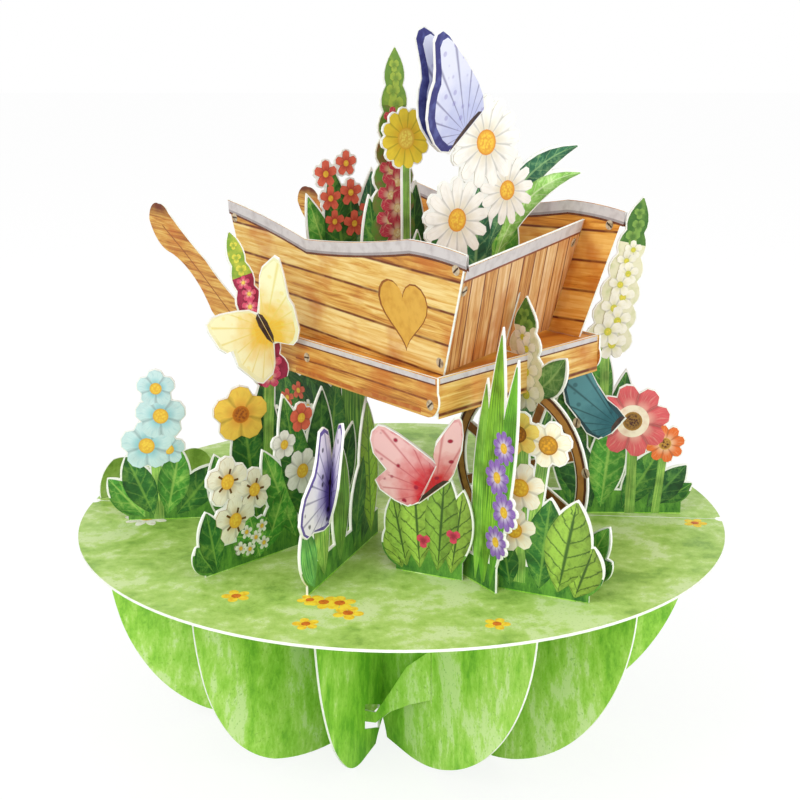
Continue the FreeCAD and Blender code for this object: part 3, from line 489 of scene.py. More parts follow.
class Print:
    """The ink on a piece: closed patches a few hundredths of a millimetre thick, later ones on top."""

    def __init__(self, name, slot):
        self.name, self.slot = name, slot
        self.vertices, self.polygons, self.corners, self.slots = [], [], [], []
        self.tints, self.lines, self.materials = [], [], []

    def on(self, faces):
        self.faces, self.layer = faces, 0
        return self

    def polygon(self, indexes, corners, finish, colours):
        self.polygons.append(indexes)
        self.corners.extend(corners)
        material = PRINTS[finish]
        if material not in self.materials:
            self.materials.append(material)
        self.slots.append(self.materials.index(material))
        self.tints.extend([linear(colours[0])] * len(indexes))
        self.lines.extend([linear(colours[1])] * len(indexes))

    def patch(self, points, polygons, corners, rim, finish, colours):
        """Adds a thin closed patch of that outline to each face, with coordinates at its corners."""
        for face in self.faces:
            first = len(self.vertices)
            out = INK + LAYER * self.layer
            self.vertices += [face.point(u, h, out) for u, h in points]
            low = len(self.vertices)
            self.vertices += [face.point(*points[i], 0.0) for i in rim]
            for polygon, corner in zip(polygons, corners):
                self.polygon([first + i for i in polygon], corner, finish, colours)
            self.polygon([low + i for i in range(len(rim))], [(1.0, 0.0)] * len(rim), finish, colours)
            for i in range(len(rim)):
                j = (i + 1) % len(rim)
                wall = [first + rim[i], first + rim[j], low + j, low + i]
                self.polygon(wall, [(1.0, 0.0)] * 4, finish, colours)
        self.layer += 1

    def strip(self, rows, finish, colours):
        """A band of rows: each is a middle point, a half width and the way across, then y along it."""
        points, levels, polygons, corners = [], [], [], []
        for (u, h), half, (du, dh), y in rows:
            points += [(u - half * du, h - half * dh), (u, h), (u + half * du, h + half * dh)]
            levels.append(y / 10)
        for i in range(len(rows) - 1):
            low, high = levels[i], levels[i + 1]
            for column in (0, 1):
                first = 3 * i + column
                polygons.append([first, first + 1, first + 4, first + 3])
                x = column - 1.0
                corners.append([(x, low), (x + 1, low), (x + 1, high), (x, high)])
        last = 3 * (len(rows) - 1)
        rim = [0, 1, 2] + [3 * i + 2 for i in range(1, len(rows))]
        rim += [last + 1, last] + [3 * i for i in range(len(rows) - 2, 0, -1)]
        self.patch(points, polygons, corners, rim, finish, colours)

    def leaf(self, u, h, length, width, lean, colours, finish="leaf", bend=0.0):
        """A pointed leaf from its base, leaning towards +u and bowed by the bend."""
        rise, run = math.cos(math.radians(lean)), math.sin(math.radians(lean))
        rows = []
        for step in range(11):
            t = 0.02 + 0.95 * step / 10
            bulge = 4 * t * (1 - t)
            side = bend * bulge
            middle = (u + length * t * run + side * rise, h + length * t * rise - side * run)
            half = max(width / 2 * bulge - WHITE_EDGE, THIN_END)
            rows.append((middle, half, (rise, -run), length * t))
        self.strip(rows, finish, colours)

    def leaves(self, *rows):
        """Leaves, the lowest first: u, h, length, width, lean, colours and, where it isn't leaf, finish."""
        for row in rows:
            self.leaf(*row)

    def stem(self, start, end, width, colours=MID_LEAF, finish="blade"):
        """A straight printed stalk, strut or strip."""
        length = math.hypot(end[0] - start[0], end[1] - start[1])
        du, dh = (end[1] - start[1]) / length, -(end[0] - start[0]) / length
        half = width / 2 - min(WHITE_EDGE, width / 5)
        self.strip([(start, half, (du, dh), 0.0), (end, half, (du, dh), length)], finish, colours)

    def band(self, line, half, colours):
        """A printed band centred on a line of points."""
        rows = []
        travelled = 0.0
        for i, (u, h) in enumerate(line):
            before, after = line[max(i - 1, 0)], line[min(i + 1, len(line) - 1)]
            du, dh = after[0] - before[0], after[1] - before[1]
            length = math.hypot(du, dh)
            if i:
                travelled += math.hypot(u - line[i - 1][0], h - line[i - 1][1])
            rows.append(((u, h), half, (-dh / length, du / length), travelled))
        self.strip(rows, "wash", colours)

    def spike(self, start, end, width, bumps, ground, florets, middle, buds):
        """A column of small flowers that narrows towards its end, with buds at its tip."""
        length = math.hypot(end[0] - start[0], end[1] - start[1])
        narrowing, floret, tip_share = 0.62, 0.66, 0.17
        lift = ((end[0] - start[0]) / length, (end[1] - start[1]) / length)
        cross = (lift[1], -lift[0])
        rows, places = [], []
        for step in range(4 * bumps + 1):
            share = step / (4 * bumps)
            half = width / 2 * (1 - narrowing * share ** 1.4)
            centre = (start[0] + (end[0] - start[0]) * share, start[1] + (end[1] - start[1]) * share)
            bulge = (0.76, 0.94, 1.0, 0.94)[step % 4]
            rows.append((centre, half * bulge - WHITE_EDGE, cross, length * share))
            if step % 2:
                radius = half * floret
                shift = (half * 0.86 - WHITE_EDGE - radius) * (1 if step % 4 == 1 else -1)
                places.append((centre[0] + shift * lift[1], centre[1] - shift * lift[0], radius))
        tip = (end[0] + lift[0] * width * tip_share, end[1] + lift[1] * width * tip_share)
        rows.append((tip, THIN_END, cross, length + width * tip_share))
        self.strip(rows, "wash", ground)
        self.strip(rows[round(len(rows) * 0.7):], "wash", buds[::-1])
        shown = round(len(places) * 0.72)
        self.florets(places[shown:], buds, None, 3)
        self.florets(places[:shown][::-1], florets, middle, 5)

    def florets(self, places, colours, middle, petals):
        """Small flowers in four alternating layers of ink, so that neighbours overlap cleanly."""
        first = self.layer
        for number, place in enumerate(places):
            self.layer = first + 2 * (number % 4)
            self.blooms([place], colours, petals, 0.34, middle, 0.24)
        self.layer = first + 8

    def rosette(self, u, h, radius, petals, depth, colours, finish):
        """A scalloped round of petals; x runs across each petal and y outwards."""
        steps = 4 * petals
        shares = (0.05, 0.5, 1.0)
        points, polygons, corners = [], [], []
        for share in shares:
            for step in range(steps):
                turn = math.pi * (step / 2 + 1) / petals
                notch = depth * (0.18, 1.0, 0.18, 0.0)[step % 4]
                reach = (radius * (1 - notch) - WHITE_EDGE) * share
                points.append((u + reach * math.cos(turn), h + reach * math.sin(turn)))
        for ring in (0, 1):
            for step in range(steps):
                following = (step + 1) % steps
                x = ((step - 1) % 4) / 2 - 1
                low, high = shares[ring], shares[ring + 1]
                polygons.append([ring * steps + step, ring * steps + following,
                                 (ring + 1) * steps + following, (ring + 1) * steps + step])
                corners.append([(x, low), (x + 0.5, low), (x + 0.5, high), (x, high)])
        polygons.append(list(range(steps)))
        corners.append([(0.0, 0.0)] * steps)
        rim = list(range(2 * steps, 3 * steps))
        self.patch(points, polygons, corners, rim, finish, colours)

    def blooms(self, places, colours, petals=5, depth=0.22, middle=YOLK, share=0.3):
        """Flower heads of one kind at each u and h, of that radius, with their stippled middles."""
        for u, h, radius in places:
            self.rosette(u, h, radius, petals, depth, colours, "petals")
            if middle:
                self.rosette(u, h, radius * share + WHITE_EDGE, 4, 0.0, middle, "middle")

    def sprig(self, places, radius, colours, middle=YOLK, petals=5):
        """Small printed flowers of one kind and size."""
        self.blooms([(u, h, radius) for u, h in places], colours, petals, 0.4, middle, 0.26)

    def marks(self, u, h, radius, count, colours):
        """Short strokes round the middle of a flower, all in one layer of ink."""
        first = self.layer
        for number in range(count):
            turn = 2 * math.pi * (number + 0.5) / count
            ends = [(u + radius * share * math.cos(turn), h + radius * share * math.sin(turn))
                    for share in (0.3, 0.5)]
            self.layer = first
            self.stem(*ends, 0.8, colours, "wash")

    def field(self, outline, finish, colours, scale=10.0):
        """A plain filled outline; its coordinates are its own, over the scale."""
        corners = [[(u / scale, h / scale) for u, h in outline]]
        rim = list(range(len(outline)))
        self.patch(outline, [rim], corners, rim, finish, colours)

    def finish(self):
        mesh = bpy.data.meshes.new(self.name)
        mesh.from_pydata(self.vertices, [], self.polygons)
        for material in self.materials:
            mesh.materials.append(material)
        mesh.polygons.foreach_set("material_index", self.slots)
        layer = mesh.uv_layers.new(name="motif")
        layer.data.foreach_set("uv", [value for corner in self.corners for value in corner])
        for name, values in (("tint", self.tints), ("line", self.lines)):
            attribute = mesh.color_attributes.new(name, "FLOAT_COLOR", "CORNER")
            attribute.data.foreach_set("color", [value for colour in values for value in colour])
        finished(self.name, mesh)


def finished(name, mesh):
    """A closed mesh as a piece that rides on the card."""
    shell = bmesh.new()
    shell.from_mesh(mesh)
    bmesh.ops.recalc_face_normals(shell, faces=shell.faces)
    shell.to_mesh(mesh)
    shell.free()
    piece = bpy.data.objects.new(name, mesh)
    bpy.context.scene.collection.objects.link(piece)
    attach(piece, "root")


def inset(outline, middle, amount):
    """An outline drawn in towards a point, so that a white edge shows round it."""
    drawn = []
    for u, h in outline:
        distance = math.hypot(u - middle[0], h - middle[1])
        share = 1 - amount / max(distance, 3 * amount)
        drawn.append((middle[0] + (u - middle[0]) * share, middle[1] + (h - middle[1]) * share))
    return drawn


# In the prints below, the lowest ink comes first.


def left_wing_print():
    """Blue flowers on one side of the fold, and primroses before dark leaves on the other."""
    ink = Print("left_wing_print", "printed_flowers").on(wing_faces(BLUE_FLOWERS, LEFT_FOLD))
    ink.stem((57, 0), (57, 26), 3)
    ink.leaves((53, 1, 16, 8, -40, DARK_LEAF), (60, 0.5, 13, 7, 40, MID_LEAF), (55, 1, 17, 8, -12, MID_LEAF),
               (58, 1, 16, 8, 22, DARK_LEAF))
    ink.blooms(((54, 17, 4), (59, 18, 6.2), (55.5, 25, 6), (56.3, 31.5, 4.6)), SKY)

    ink.on(wing_faces(PRIMROSES, LEFT_FOLD))
    ink.leaves((22, 2, 24, 7, -16, DEEP_LEAF), (33, 2, 24, 8, 22, MID_LEAF), (27, 2, 33, 9, -4, DEEP_LEAF),
               (29, 2, 34, 9, 12, DARK_LEAF), (42, 1, 15, 7, -24, MID_LEAF), (56, 0.5, 8, 6, 32, DARK_LEAF),
               (55, 0.5, 14, 7, 10, DARK_LEAF))
    ink.blooms([(31, 29, 3.6)], CORAL)
    ink.blooms([(36, 24, 3.6)], WHITE)
    ink.blooms([(31, 17, 5.5)], WHITE, 7)
    primroses = ((44.6, 16, 5), (51.7, 19.4, 5.6), (50, 10.5, 5.6))
    ink.blooms(primroses, CREAM, 5, 0.3)
    for u, h, radius in primroses:
        ink.marks(u, h, radius, 5, ("#6E4A1E", "#3E2A14"))
    ink.rosette(45, 5.5, 5.2, 6, 0.22, MID_LEAF, "leaf")
    ink.sprig(((43, 7.5), (47.2, 7.2), (42.6, 3.6), (46.5, 3.2), (44.8, 5.4), (49, 4)), 1.9, WHITE)
    ink.finish()


def front_wing_print():
    """Tulip leaves on one side of the fold, and tall grass with purple daisies on the other."""
    ink = Print("front_wing_print", "printed_flowers").on(wing_faces(TULIP, FRONT_FOLD))
    ink.leaves((26, 1, 16, 7, -34, DEEP_LEAF), (20, 1, 32, 11, 4, LIME_LEAF, "veined"),
               (30, 1, 21, 8, -16, DARK_LEAF), (38, 1, 25, 9, -6, DARK_LEAF, "blade"),
               (46, 1, 20, 8, 6, MID_LEAF, "blade"), (51, 0.5, 15, 8, 18, ("#2F8A4A", "#8FD06A"), "blade"))

    ink.on(wing_faces(GRASS, FRONT_FOLD))
    ink.leaves((47.5, 0, 33, 6, -2, ("#7CBF34", "#3E7A26"), "blade"),
               (45, 0, 44, 6, 4, ("#5FA52E", "#A6D65A"), "blade"),
               (50, 0, 50, 6, 9, ("#7CC238", "#3F8428"), "blade"), (48, 0, 55, 6.5, 5, BLADE, "blade"))
    daisies = ((54, 31, 3.8), (52, 24.5, 4.2), (54.5, 18, 4.2), (52, 11, 3.8))
    ink.blooms(daisies, VIOLET, 9, 0.22, YOLK, 0.28)
    ink.finish()


def wheel_wing_print():
    """The barrow's wheel and a white spike on one side of the fold, and the red daisy on the other."""
    ink = Print("wheel_wing_print", "printed_flowers").on(wing_faces(WHEEL, WHEEL_FOLD))
    rust, pale_rust, iron = ("#9A6430", "#6A3C1C"), ("#BF8A48", "#8A5426"), ("#5A3420", "#3E2216")
    axle, radius, spoke_reach, sides = 37.5, 19.5, 16.4, 48
    outside, inside = radius - 0.35, radius - 2.9
    for outer, inner, colours in ((outside, inside, pale_rust), (outside, radius - 1.0, iron),
                                  (radius - 2.6, inside, iron)):
        middle = (outer + inner) / 2
        rows = []
        for step in range(sides + 1):
            turn = 2 * math.pi * step / sides
            way = (math.cos(turn), math.sin(turn))
            point = (axle + middle * way[0], radius + middle * way[1])
            rows.append((point, (outer - inner) / 2, way, middle * turn))
        ink.strip(rows, "wash", colours)
    for spoke in range(4):
        turn = math.pi * (spoke + 0.5) / 4
        du, dh = spoke_reach * math.cos(turn), spoke_reach * math.sin(turn)
        ink.stem((axle - du, radius - dh), (axle + du, radius + dh), 2.6, rust, "wash")
    ink.rosette(axle, radius, 4.0, 8, 0.0, pale_rust, "wash")
    ink.rosette(axle, radius, 2.0, 8, 0.0, GREY_METAL, "middle")
    ink.stem((27.2, 34), (27.2, 43.6), 6.3, PINE[1:3], "wash")
    ink.leaf(40, 36, 14, 7, 46, ("#4F7F42", "#A9C97E"), bend=1)
    ink.spike((38.6, 35), (38.6, 54.3), 13, 4, *CREAM_SPIKE)
    ink.leaves((56.5, 1, 14, 6, 28, MID_LEAF), (58, 1, 8, 5, 50, DARK_LEAF))

    ink.on(wing_faces(RED_DAISY, WHEEL_FOLD))
    ink.leaves((40, 1, 33, 9, -3, DARK_LEAF), (45, 1, 22, 9, -20, DEEP_LEAF), (61, 2.6, 9, 5, 56, DARK_LEAF),
               (47, 1, 24, 9, 6, MID_LEAF), (58, 1.5, 14, 7, 40, DEEP_LEAF), (52, 1, 18, 8, 30, DARK_LEAF))
    ink.stem((54, 0), (54, 20), 3)
    ink.stem((60, 0), (61.5, 18), 2.5)
    ink.blooms([(61.5, 17.2, 4.9)], ORANGE, 8, 0.22, ("#5A2A1C", "#E8B04A"))
    ink.blooms([(53.7, 22.6, 9)], ROSE, 8, 0.22, None)
    ink.rosette(53.7, 22.6, 4.2, 8, 0.0, ("#F4E6CE", "#D9B49A"), "wash")
    ink.rosette(53.7, 22.6, 2.6, 5, 0.0, ("#4A2A24", "#B98A3A"), "middle")
    ink.finish()


def back_wing_print():
    """Leaves with two flowers on one side of the fold, and the strut, wooden leg and hedge on the other."""
    ink = Print("back_wing_print", "printed_flowers").on(wing_faces(BACK_LEAVES, BACK_FOLD))
    ink.leaves((40, 1, 22, 9, -14, DARK_LEAF), (56, 1, 12, 7, 44, MID_LEAF), (46, 1, 28, 10, 4, DEEP_LEAF),
               (52, 1, 20, 9, 24, DARK_LEAF))
    ink.blooms([(44, 27, 5)], WHITE)
    ink.blooms([(52, 22, 5)], SKY)

    ink.on(wing_faces(HEDGE, BACK_FOLD))
    ink.field([(36, 0.3), (45.9, 0.3), (45.9, 11.7), (36, 11.7)], "wash", ("#D29A45", "#A8662A"))
    ink.stem((16, 1), (16, 43.6), 8, DARK_LEAF)
    hedge = ((35.5, 4), (39.8, 5.6), (44.5, 8.2), (49.4, 11.7), (52.4, 15), (51, 17.8), (47, 20.8),
             (48, 24), (46.2, 27.2), (42, 26.6), (38, 29.4), (34, 27.6), (30, 30.2), (24, 27), (20, 24),
             (19, 12), (20, 4))
    ink.field(inset(hedge, (34, 16), WHITE_EDGE), "leaf", DARK_LEAF, 3.0)
    ink.leaves((24, 5, 24, 9, -6, DARK_LEAF), (30, 6, 23, 9, 4, DEEP_LEAF), (36, 7, 22, 9, 10, DARK_LEAF),
               (41, 8, 19, 9, 22, DEEP_LEAF), (26, 10, 18, 9, 14, DEEP_LEAF))
    ink.sprig(((38.5, 21), (34.5, 23.5)), 2.7, CORAL)
    ink.sprig(((41.5, 12.5), (45.5, 14.5), (43.5, 17.5), (47.5, 17.5), (39.5, 15.5), (31, 20)), 2.2, WHITE)
    ink.sprig(((35.5, 12), (32.5, 15)), 1.8, PALE_BLUE)
    ink.finish()


def single_sheet_prints():
    """The sheets that stand on the disc by themselves."""
    ink = Print("red_clump_print", "printed_flowers").on(sheet_faces(*RED_CLUMP))
    ink.leaves((16, 0.6, 10, 6, -20, OLIVE_LEAF, "veined"), (27, 1, 19, 7, 8, OLIVE_LEAF, "veined"),
               (17, 1, 16, 7, -12, ("#8FB446", "#284820"), "veined"),
               (20, 1, 21, 8, -4, ("#9CC24C", "#2C4E22"), "veined"),
               (24, 1, 23, 8, 4, ("#86AC42", "#2A4A20"), "veined"))
    ink.sprig(((27.5, 9.5), (20.8, 7.5)), 2.0, ("#D8465F", "#8E1F38"), None, 3)
    ink.finish()

    ink = Print("yellow_flower_print", "printed_flowers").on(sheet_faces(*RED_CLUMP))
    ink.stem((41.5, 2), (41.5, 30), 4)
    ink.stem((44, 10), (46.4, 30), 3)
    ink.leaves((40, 0.8, 11, 6, -10, DARK_LEAF), (53.5, 0.6, 12, 8, 18, OLIVE_LEAF, "veined"),
               (46, 1, 20, 9, 6, DARK_LEAF), (50, 1, 20.5, 10, 10, ("#97BC4A", "#2E5424"), "veined"))
    ink.blooms(((40.6, 13, 5), (41.6, 22, 5.6)), GILT, 6, 0.26, AMBER_EYE, 0.34)
    ink.blooms([(47.2, 31.5, 5)], GILT, 6, 0.26, ("#E3A526", "#8A5A1A"), 0.4)
    ink.blooms([(41, 33, 4.8)], ("#F4D768", "#E39A22"), 6, 0.26, ("#C07A1E", "#5E3A14"), 0.36)
    ink.finish()

    ink = Print("pink_spike_print", "printed_flowers").on(sheet_faces(*PINK_SPIKE))
    ink.leaves((30, 1, 28, 9, -6, DARK_LEAF), (41, 0.8, 20, 8, 14, MID_LEAF), (33, 1, 36, 8, 2, DEEP_LEAF),
               (36, 1, 30, 9, 6, DARK_LEAF))
    ink.stem((34, 2), (32.5, 38), 3)
    ink.spike((31.5, 35), (40.3, 67), 9, 6, ("#8E2440", "#C23A62"), ("#D8486E", "#F4C9B4"),
              ("#F0D868", "#C98A30"), ("#DCD64E", "#7FA43A"))
    ink.blooms([(39.5, 28.5, 6.6)], ("#F5CE52", "#E39436"), 5, 0.22, ("#8E4A18", "#D98422"))
    ink.finish()

    ink = Print("lilac_print", "printed_flowers").on(sheet_faces(*LILAC))
    ink.leaves((49, 1, 32, 8, -4, DARK_LEAF), (57, 0.8, 16, 8, 18, MID_LEAF), (54, 1, 30, 9, 6, DARK_LEAF),
               (50, 14, 24, 7, 2, MID_LEAF))
    ink.stem((52, 2), (51, 40), 3)
    ink.spike((51.5, 36), (59, 70), 13, 6, *CREAM_SPIKE)
    ink.finish()


def tray_sheet_prints():
    """The flower sheets that stand in the tray."""
    ink = Print("red_blossom_print", "printed_flowers").on(crosswise_faces(-8))
    ink.leaves((-9, TRAY_FOOT, 33, 8, -20, MID_LEAF), (0, TRAY_FOOT, 30, 8, 10, DARK_LEAF),
               (-7, TRAY_FOOT, 33, 9, -3, DEEP_LEAF), (-5, TRAY_FOOT, 36, 9, 4, TEAL_LEAF),
               (-8, TRAY_FOOT, 38, 9, -9, DARK_LEAF))
    ink.blooms(((-15.2, 79.4, 3.4), (-9.7, 81.5, 3.2), (-14, 74, 3.2), (-8.5, 75, 3.4), (-13, 68.8, 3),
                (-7.6, 68, 3.4), (-3.6, 71, 3)), CORAL, 5, 0.4, YOLK, 0.22)
    ink.finish()

    ink = Print("red_spike_print", "printed_flowers").on(crosswise_faces(7))
    ink.leaves((0, TRAY_FOOT, 26, 7, 6, MID_LEAF), (-10, TRAY_FOOT, 32, 8, -8, DARK_LEAF),
               (-4, TRAY_FOOT, 34, 8, 4, DEEP_LEAF))
    ink.stem((-8, TRAY_FOOT), (-8, 72), 3.5)
    ink.spike((-8, 66), (-7.6, 104), 13, 7, ("#5E8A34", "#9E3048"), CRIMSON, ("#F6E7BE", "#D9A24A"),
              ("#A9C24A", "#6E963A"))
    ink.finish()

    ink = Print("dandelion_print", "printed_flowers").on(crosswise_faces(12))
    ink.leaves((-6, TRAY_FOOT, 24, 6, 2, MID_LEAF))
    ink.stem((-8, TRAY_FOOT), (-8.4, 84), 2.4)
    ink.blooms([(-8.4, 87.8, 6.6)], ("#F0D43A", "#DFA41E"), 12, 0.14, ("#F3DF62", "#D99A1C"), 0.34)
    ink.finish()

    ink = Print("white_daisy_print", "printed_flowers").on(crosswise_faces(21))
    ink.leaves((-4, TRAY_FOOT, 28, 9, -6, DARK_LEAF), (9, TRAY_FOOT, 32, 10, 8, MID_LEAF),
               (3, TRAY_FOOT, 34, 10, 2, TEAL_LEAF))
    ink.leaf(6, 62, 37, 6.5, 51, TEAL_LEAF, bend=-5.5)
    ink.leaf(8, 58, 35, 6, 53, ("#8CC45A", "#E4F2C2"), bend=-6.5)
    ink.blooms(((-1.8, 71.1, 9.2), (12.3, 76.5, 8), (6, 86.9, 10)), ("#FFFDF4", "#DFD4B2"), 13, 0.3,
               ("#F6D04A", "#D9791E"), 0.27)
    ink.finish()


def top_edge(near, drop):
    """Points along a tray side's S-curved top edge, lowered by the drop."""
    front = TRAY_FRONT if near else TRAY_FRONT - TRAY_SKEW
    rear = front - TRAY_LENGTH
    rise = NEAR_RISE if near else FAR_RISE
    points = [(rear - 8.2, rise + 3.1), (rear + 5.3, rise + 1), (rear + 22.8, rise - 2.8),
              (rear + 39.2, rise - 1.6), (rear + 58.8, rise + 1.1), (rear + 66, rise + 1),
              (front + 9.3, rise)]
    smooth = []
    for (u0, h0), (u1, h1), (u2, h2) in (points[0:3], points[2:5], points[4:7]):
        for step in range(8):
            t = step / 8
            share = (u1 - u0) / (u2 - u0)
            bow = (h1 - h0 - (h2 - h0) * share) / (share * (1 - share))
            smooth.append((u0 + (u2 - u0) * t, h0 + (h2 - h0) * t + bow * t * (1 - t) - drop))
    smooth.append((points[-1][0], points[-1][1] - drop))
    return smooth


def tray_side_faces(near):
    """The two sides of a tray side board, which leans out from the tray's floor."""
    offset, lean = (TRAY_NEAR, -TRAY_FLARE) if near else (TRAY_FAR, TRAY_FLARE)
    return sheet_faces(BARROW, offset, lean, TRAY_FOOT)


def front_panel_faces():
    """The tray's front panel: its two sides and, on them, its near and far top corners."""
    def corner(near, u, rise):
        turn = math.radians(-TRAY_FLARE if near else TRAY_FLARE)
        offset = TRAY_NEAR + CARD + SEAT_FIT if near else TRAY_FAR - CARD - SEAT_FIT
        height = TRAY_FOOT + rise * math.cos(turn)
        return along(BARROW) * u + across(BARROW) * (offset + rise * math.sin(turn)) + UP * height

    near_foot, far_foot = TRAY_FRONT - CARD, TRAY_FRONT - CARD - TRAY_SKEW - PANEL_SETBACK
    foot = corner(True, near_foot, CARD)
    near_top = corner(True, near_foot + FRONT_LEAN * PANEL_RISE, PANEL_RISE)
    far_top = corner(False, far_foot + FRONT_LEAN * FAR_PANEL_RISE, FAR_PANEL_RISE)
    right = (corner(False, far_foot, CARD) - foot).normalized()
    outward = right.cross(near_top - foot).normalized()
    upward = outward.cross(right)
    far_top -= along(BARROW) * ((far_top - foot).dot(outward) / along(BARROW).dot(outward))
    tops = [((top - foot).dot(right), (top - foot).dot(upward)) for top in (near_top, far_top)]
    return [Face(foot, right, upward, outward * side) for side in (1, -1)], *tops


def heart_outline(u, h, size):
    """A plain heart, point down."""
    outline = []
    for step in range(32):
        turn = 2 * math.pi * step / 32
        x = math.sin(turn) ** 3
        y = (13 * math.cos(turn) - 5 * math.cos(2 * turn) - 2 * math.cos(3 * turn) - math.cos(4 * turn)) / 16
        outline.append((u + size * x, h + size * y))
    return outline


def barrow_print():
    """The metal rims, the carved heart and the lines drawn on the frame and its handles."""
    ink = Print("barrow_rim_print", "printed_wood")
    for near in (True, False):
        ink.on(tray_side_faces(near))
        ink.band(top_edge(near, RIM_LINE_DROP), RIM_LINE_HALF, BROWN_LINE)
        ink.band(top_edge(near, RIM_DROP), RIM_HALF, GREY_METAL)
        ink.band(top_edge(near, RIM_SHADE_DROP), RIM_SHADE_HALF, ("#A39A9A", "#8E8686"))
        if near:
            ink.faces = ink.faces[1:]
            ink.field(heart_outline(*HEART), "wash", ("#8A4E1A", "#A8681E"))
            ink.field(heart_outline(*CARVED_HEART), "wash", ("#DCAA44", "#C58A2A"))

    # On each frame board: the handle's line, the metal's lower line, the metal and two wood lines
    for offset, skew, run in ((FRAME_NEAR, 0.0, 68.4), (FRAME_FAR, TRAY_SKEW + 4.0, 59.4)):
        ink.on(sheet_faces(BARROW, offset))
        rear = TRAY_FRONT - TRAY_LENGTH - skew
        front = run + skew
        for line, half, colours in (
                (((-2, 43), (-10, 47.2), (-20, 53), (-30, 58.4), (-40, 63.4)), 0.16, ("#9A5A24", "#7A3E16")),
                (((18, FRAME_LINE), (front, FRAME_LINE)), 0.2, BROWN_LINE),
                (((18, FRAME_RIM), (front, FRAME_RIM)), 0.5, GREY_METAL),
                (((20, 40.2), (40, 40.5), (66, 40.2)), 0.18, ("#8A4A1E", "#B5713A")),
                (((20, 37.6), (40, 37.5), (64, 37.6)), 0.4, ("#B5652A", "#D29A4E"))):
            ink.band([(rear + u, h) for u, h in line], half, colours)

    near_end = along(BARROW) * FRAME_FRONT + across(BARROW) * (FRAME_NEAR + CARD / 2 + SEAT_FIT)
    far_end = along(BARROW) * (FRAME_FRONT - TRAY_SKEW) + across(BARROW) * (FRAME_FAR - CARD / 2 - SEAT_FIT)
    span = far_end - near_end
    azimuth = math.degrees(math.atan2(span.x, -span.y))
    ink.on(sheet_faces(azimuth, across(azimuth).dot(near_end)))
    begin = along(azimuth).dot(near_end)
    for height, half, colours in ((FRAME_LINE, 0.2, BROWN_LINE), (FRAME_RIM, 0.5, GREY_METAL)):
        ink.band([(begin + 0.4, height), (begin + span.length - 0.4, height)], half, colours)

    faces, near_top, far_top = front_panel_faces()
    ink.on(faces)
    for drop, half, colours in ((RIM_LINE_DROP, RIM_LINE_HALF, ("#8A4A2C", "#5A2E1A")),
                                (RIM_DROP, RIM_HALF, GREY_METAL)):
        ends = [(near_top[0] + 0.7, near_top[1] - drop), (far_top[0] - 0.7, far_top[1] - drop)]
        ink.band(ends, half, colours)
    ink.finish()


# Half outlines of the wings: x out from the fold, y along it
TOP_WING = [(5.2, 7.7), (9.6, 7.8), (15.8, 6.8), (22.7, 5.2), (24.8, 4.2), (25.3, 2.6), (24.5, 1.2),
            (19.6, -1.0), (17.3, -2.5), (16.1, -4.4), (14.3, -6.1), (11.8, -7.8), (9.2, -8.5),
            (5.0, -8.5), (2.2, -7.8)]
TEAL_WING = [(3.0, 3.1), (6.1, 3.1), (10.9, 4.5), (15.0, 6.1), (17.2, 5.7), (18.2, 3.7), (18.4, 1.5),
             (17.0, -1.1), (13.6, -3.8), (9.6, -4.7), (4.6, -6.2), (1.4, -5.5)]
WINGS = {
    "violet_butterfly": (
        [(1.7, 9.4), (4.0, 12.8), (6.5, 15.4), (9.0, 15.9), (10.4, 14.5), (9.8, 10.7), (8.8, 6.6),
         (7.8, 2.4), (5.5, -1.1), (2.1, -4.9)],
        [(2.2, 11.5), (3.6, 13.7), (5.8, 14.5), (7.9, 13.8), (8.8, 8.3), (10.0, 5.5), (14.6, 1.3),
         (15.8, -1.5), (16.0, -4.0), (14.2, -6.3), (12.1, -7.2), (9.0, -6.6), (3.1, -7.1)]),
    "red_butterfly": (
        [(1.4, 4.9), (5.6, 4.6), (10.0, 3.5), (13.7, 2.4), (17.0, 1.0), (18.0, -0.1), (17.8, -2.1),
         (16.7, -3.6), (14.0, -5.2), (9.6, -5.4), (9.3, -9.0), (7.0, -9.6), (3.3, -8.5), (0.7, -7.0)],
        [(0.8, 6.4), (2.2, 8.6), (4.5, 12.3), (7.3, 15.4), (10.0, 17.7), (11.4, 18.3), (11.9, 17.4),
         (11.0, 13.9), (9.9, 10.3), (8.2, 8.1), (5.6, 6.6)]),
    "yellow_butterfly": (
        [(2.9, 8.0), (5.5, 12.4), (7.3, 14.2), (11.4, 15.8), (12.2, 14.8), (11.5, 11.7), (9.7, 5.7),
         (9.9, 3.6), (8.2, -2.1), (6.4, -4.4), (4.8, -5.3), (1.3, -3.9)],
        [(1.6, 5.9), (4.6, 7.6), (8.2, 9.2), (10.8, 9.9), (12.7, 9.4), (13.1, 8.0), (12.9, 3.4),
         (11.8, 1.4), (10.3, 1.2), (10.9, -2.8), (8.6, -8.4), (7.4, -9.5), (4.0, -9.3), (2.3, -7.8)]),
    "teal_butterfly": (TEAL_WING, TEAL_WING),
    "top_butterfly": (TOP_WING, TOP_WING),
}

# The carrying sheet's azimuth and offset, the side of it, u and h of the fold's middle, the fold's lean
# and half length, and how far each wing lifts from the sheet
BUTTERFLIES = {
    "violet_butterfly": (TULIP, 0.0, 1, 43.1, 18.0, -9, 6.4, (146, 2)),
    "red_butterfly": (*RED_CLUMP, -1, 23.3, 18.6, 50, 4.5, (8, 142)),
    "yellow_butterfly": (*PINK_SPIKE, 1, 33.2, 47.2, 27, 4.0, (52, 20)),
    "teal_butterfly": (RED_DAISY, -0.61, -1, 50.5, 21.6, 40, 2.5, (4, 174)),
    "top_butterfly": (BARROW + 90, -21.0, -1, -0.2, 89.1, 48, 6.1, (6, 162)),
}

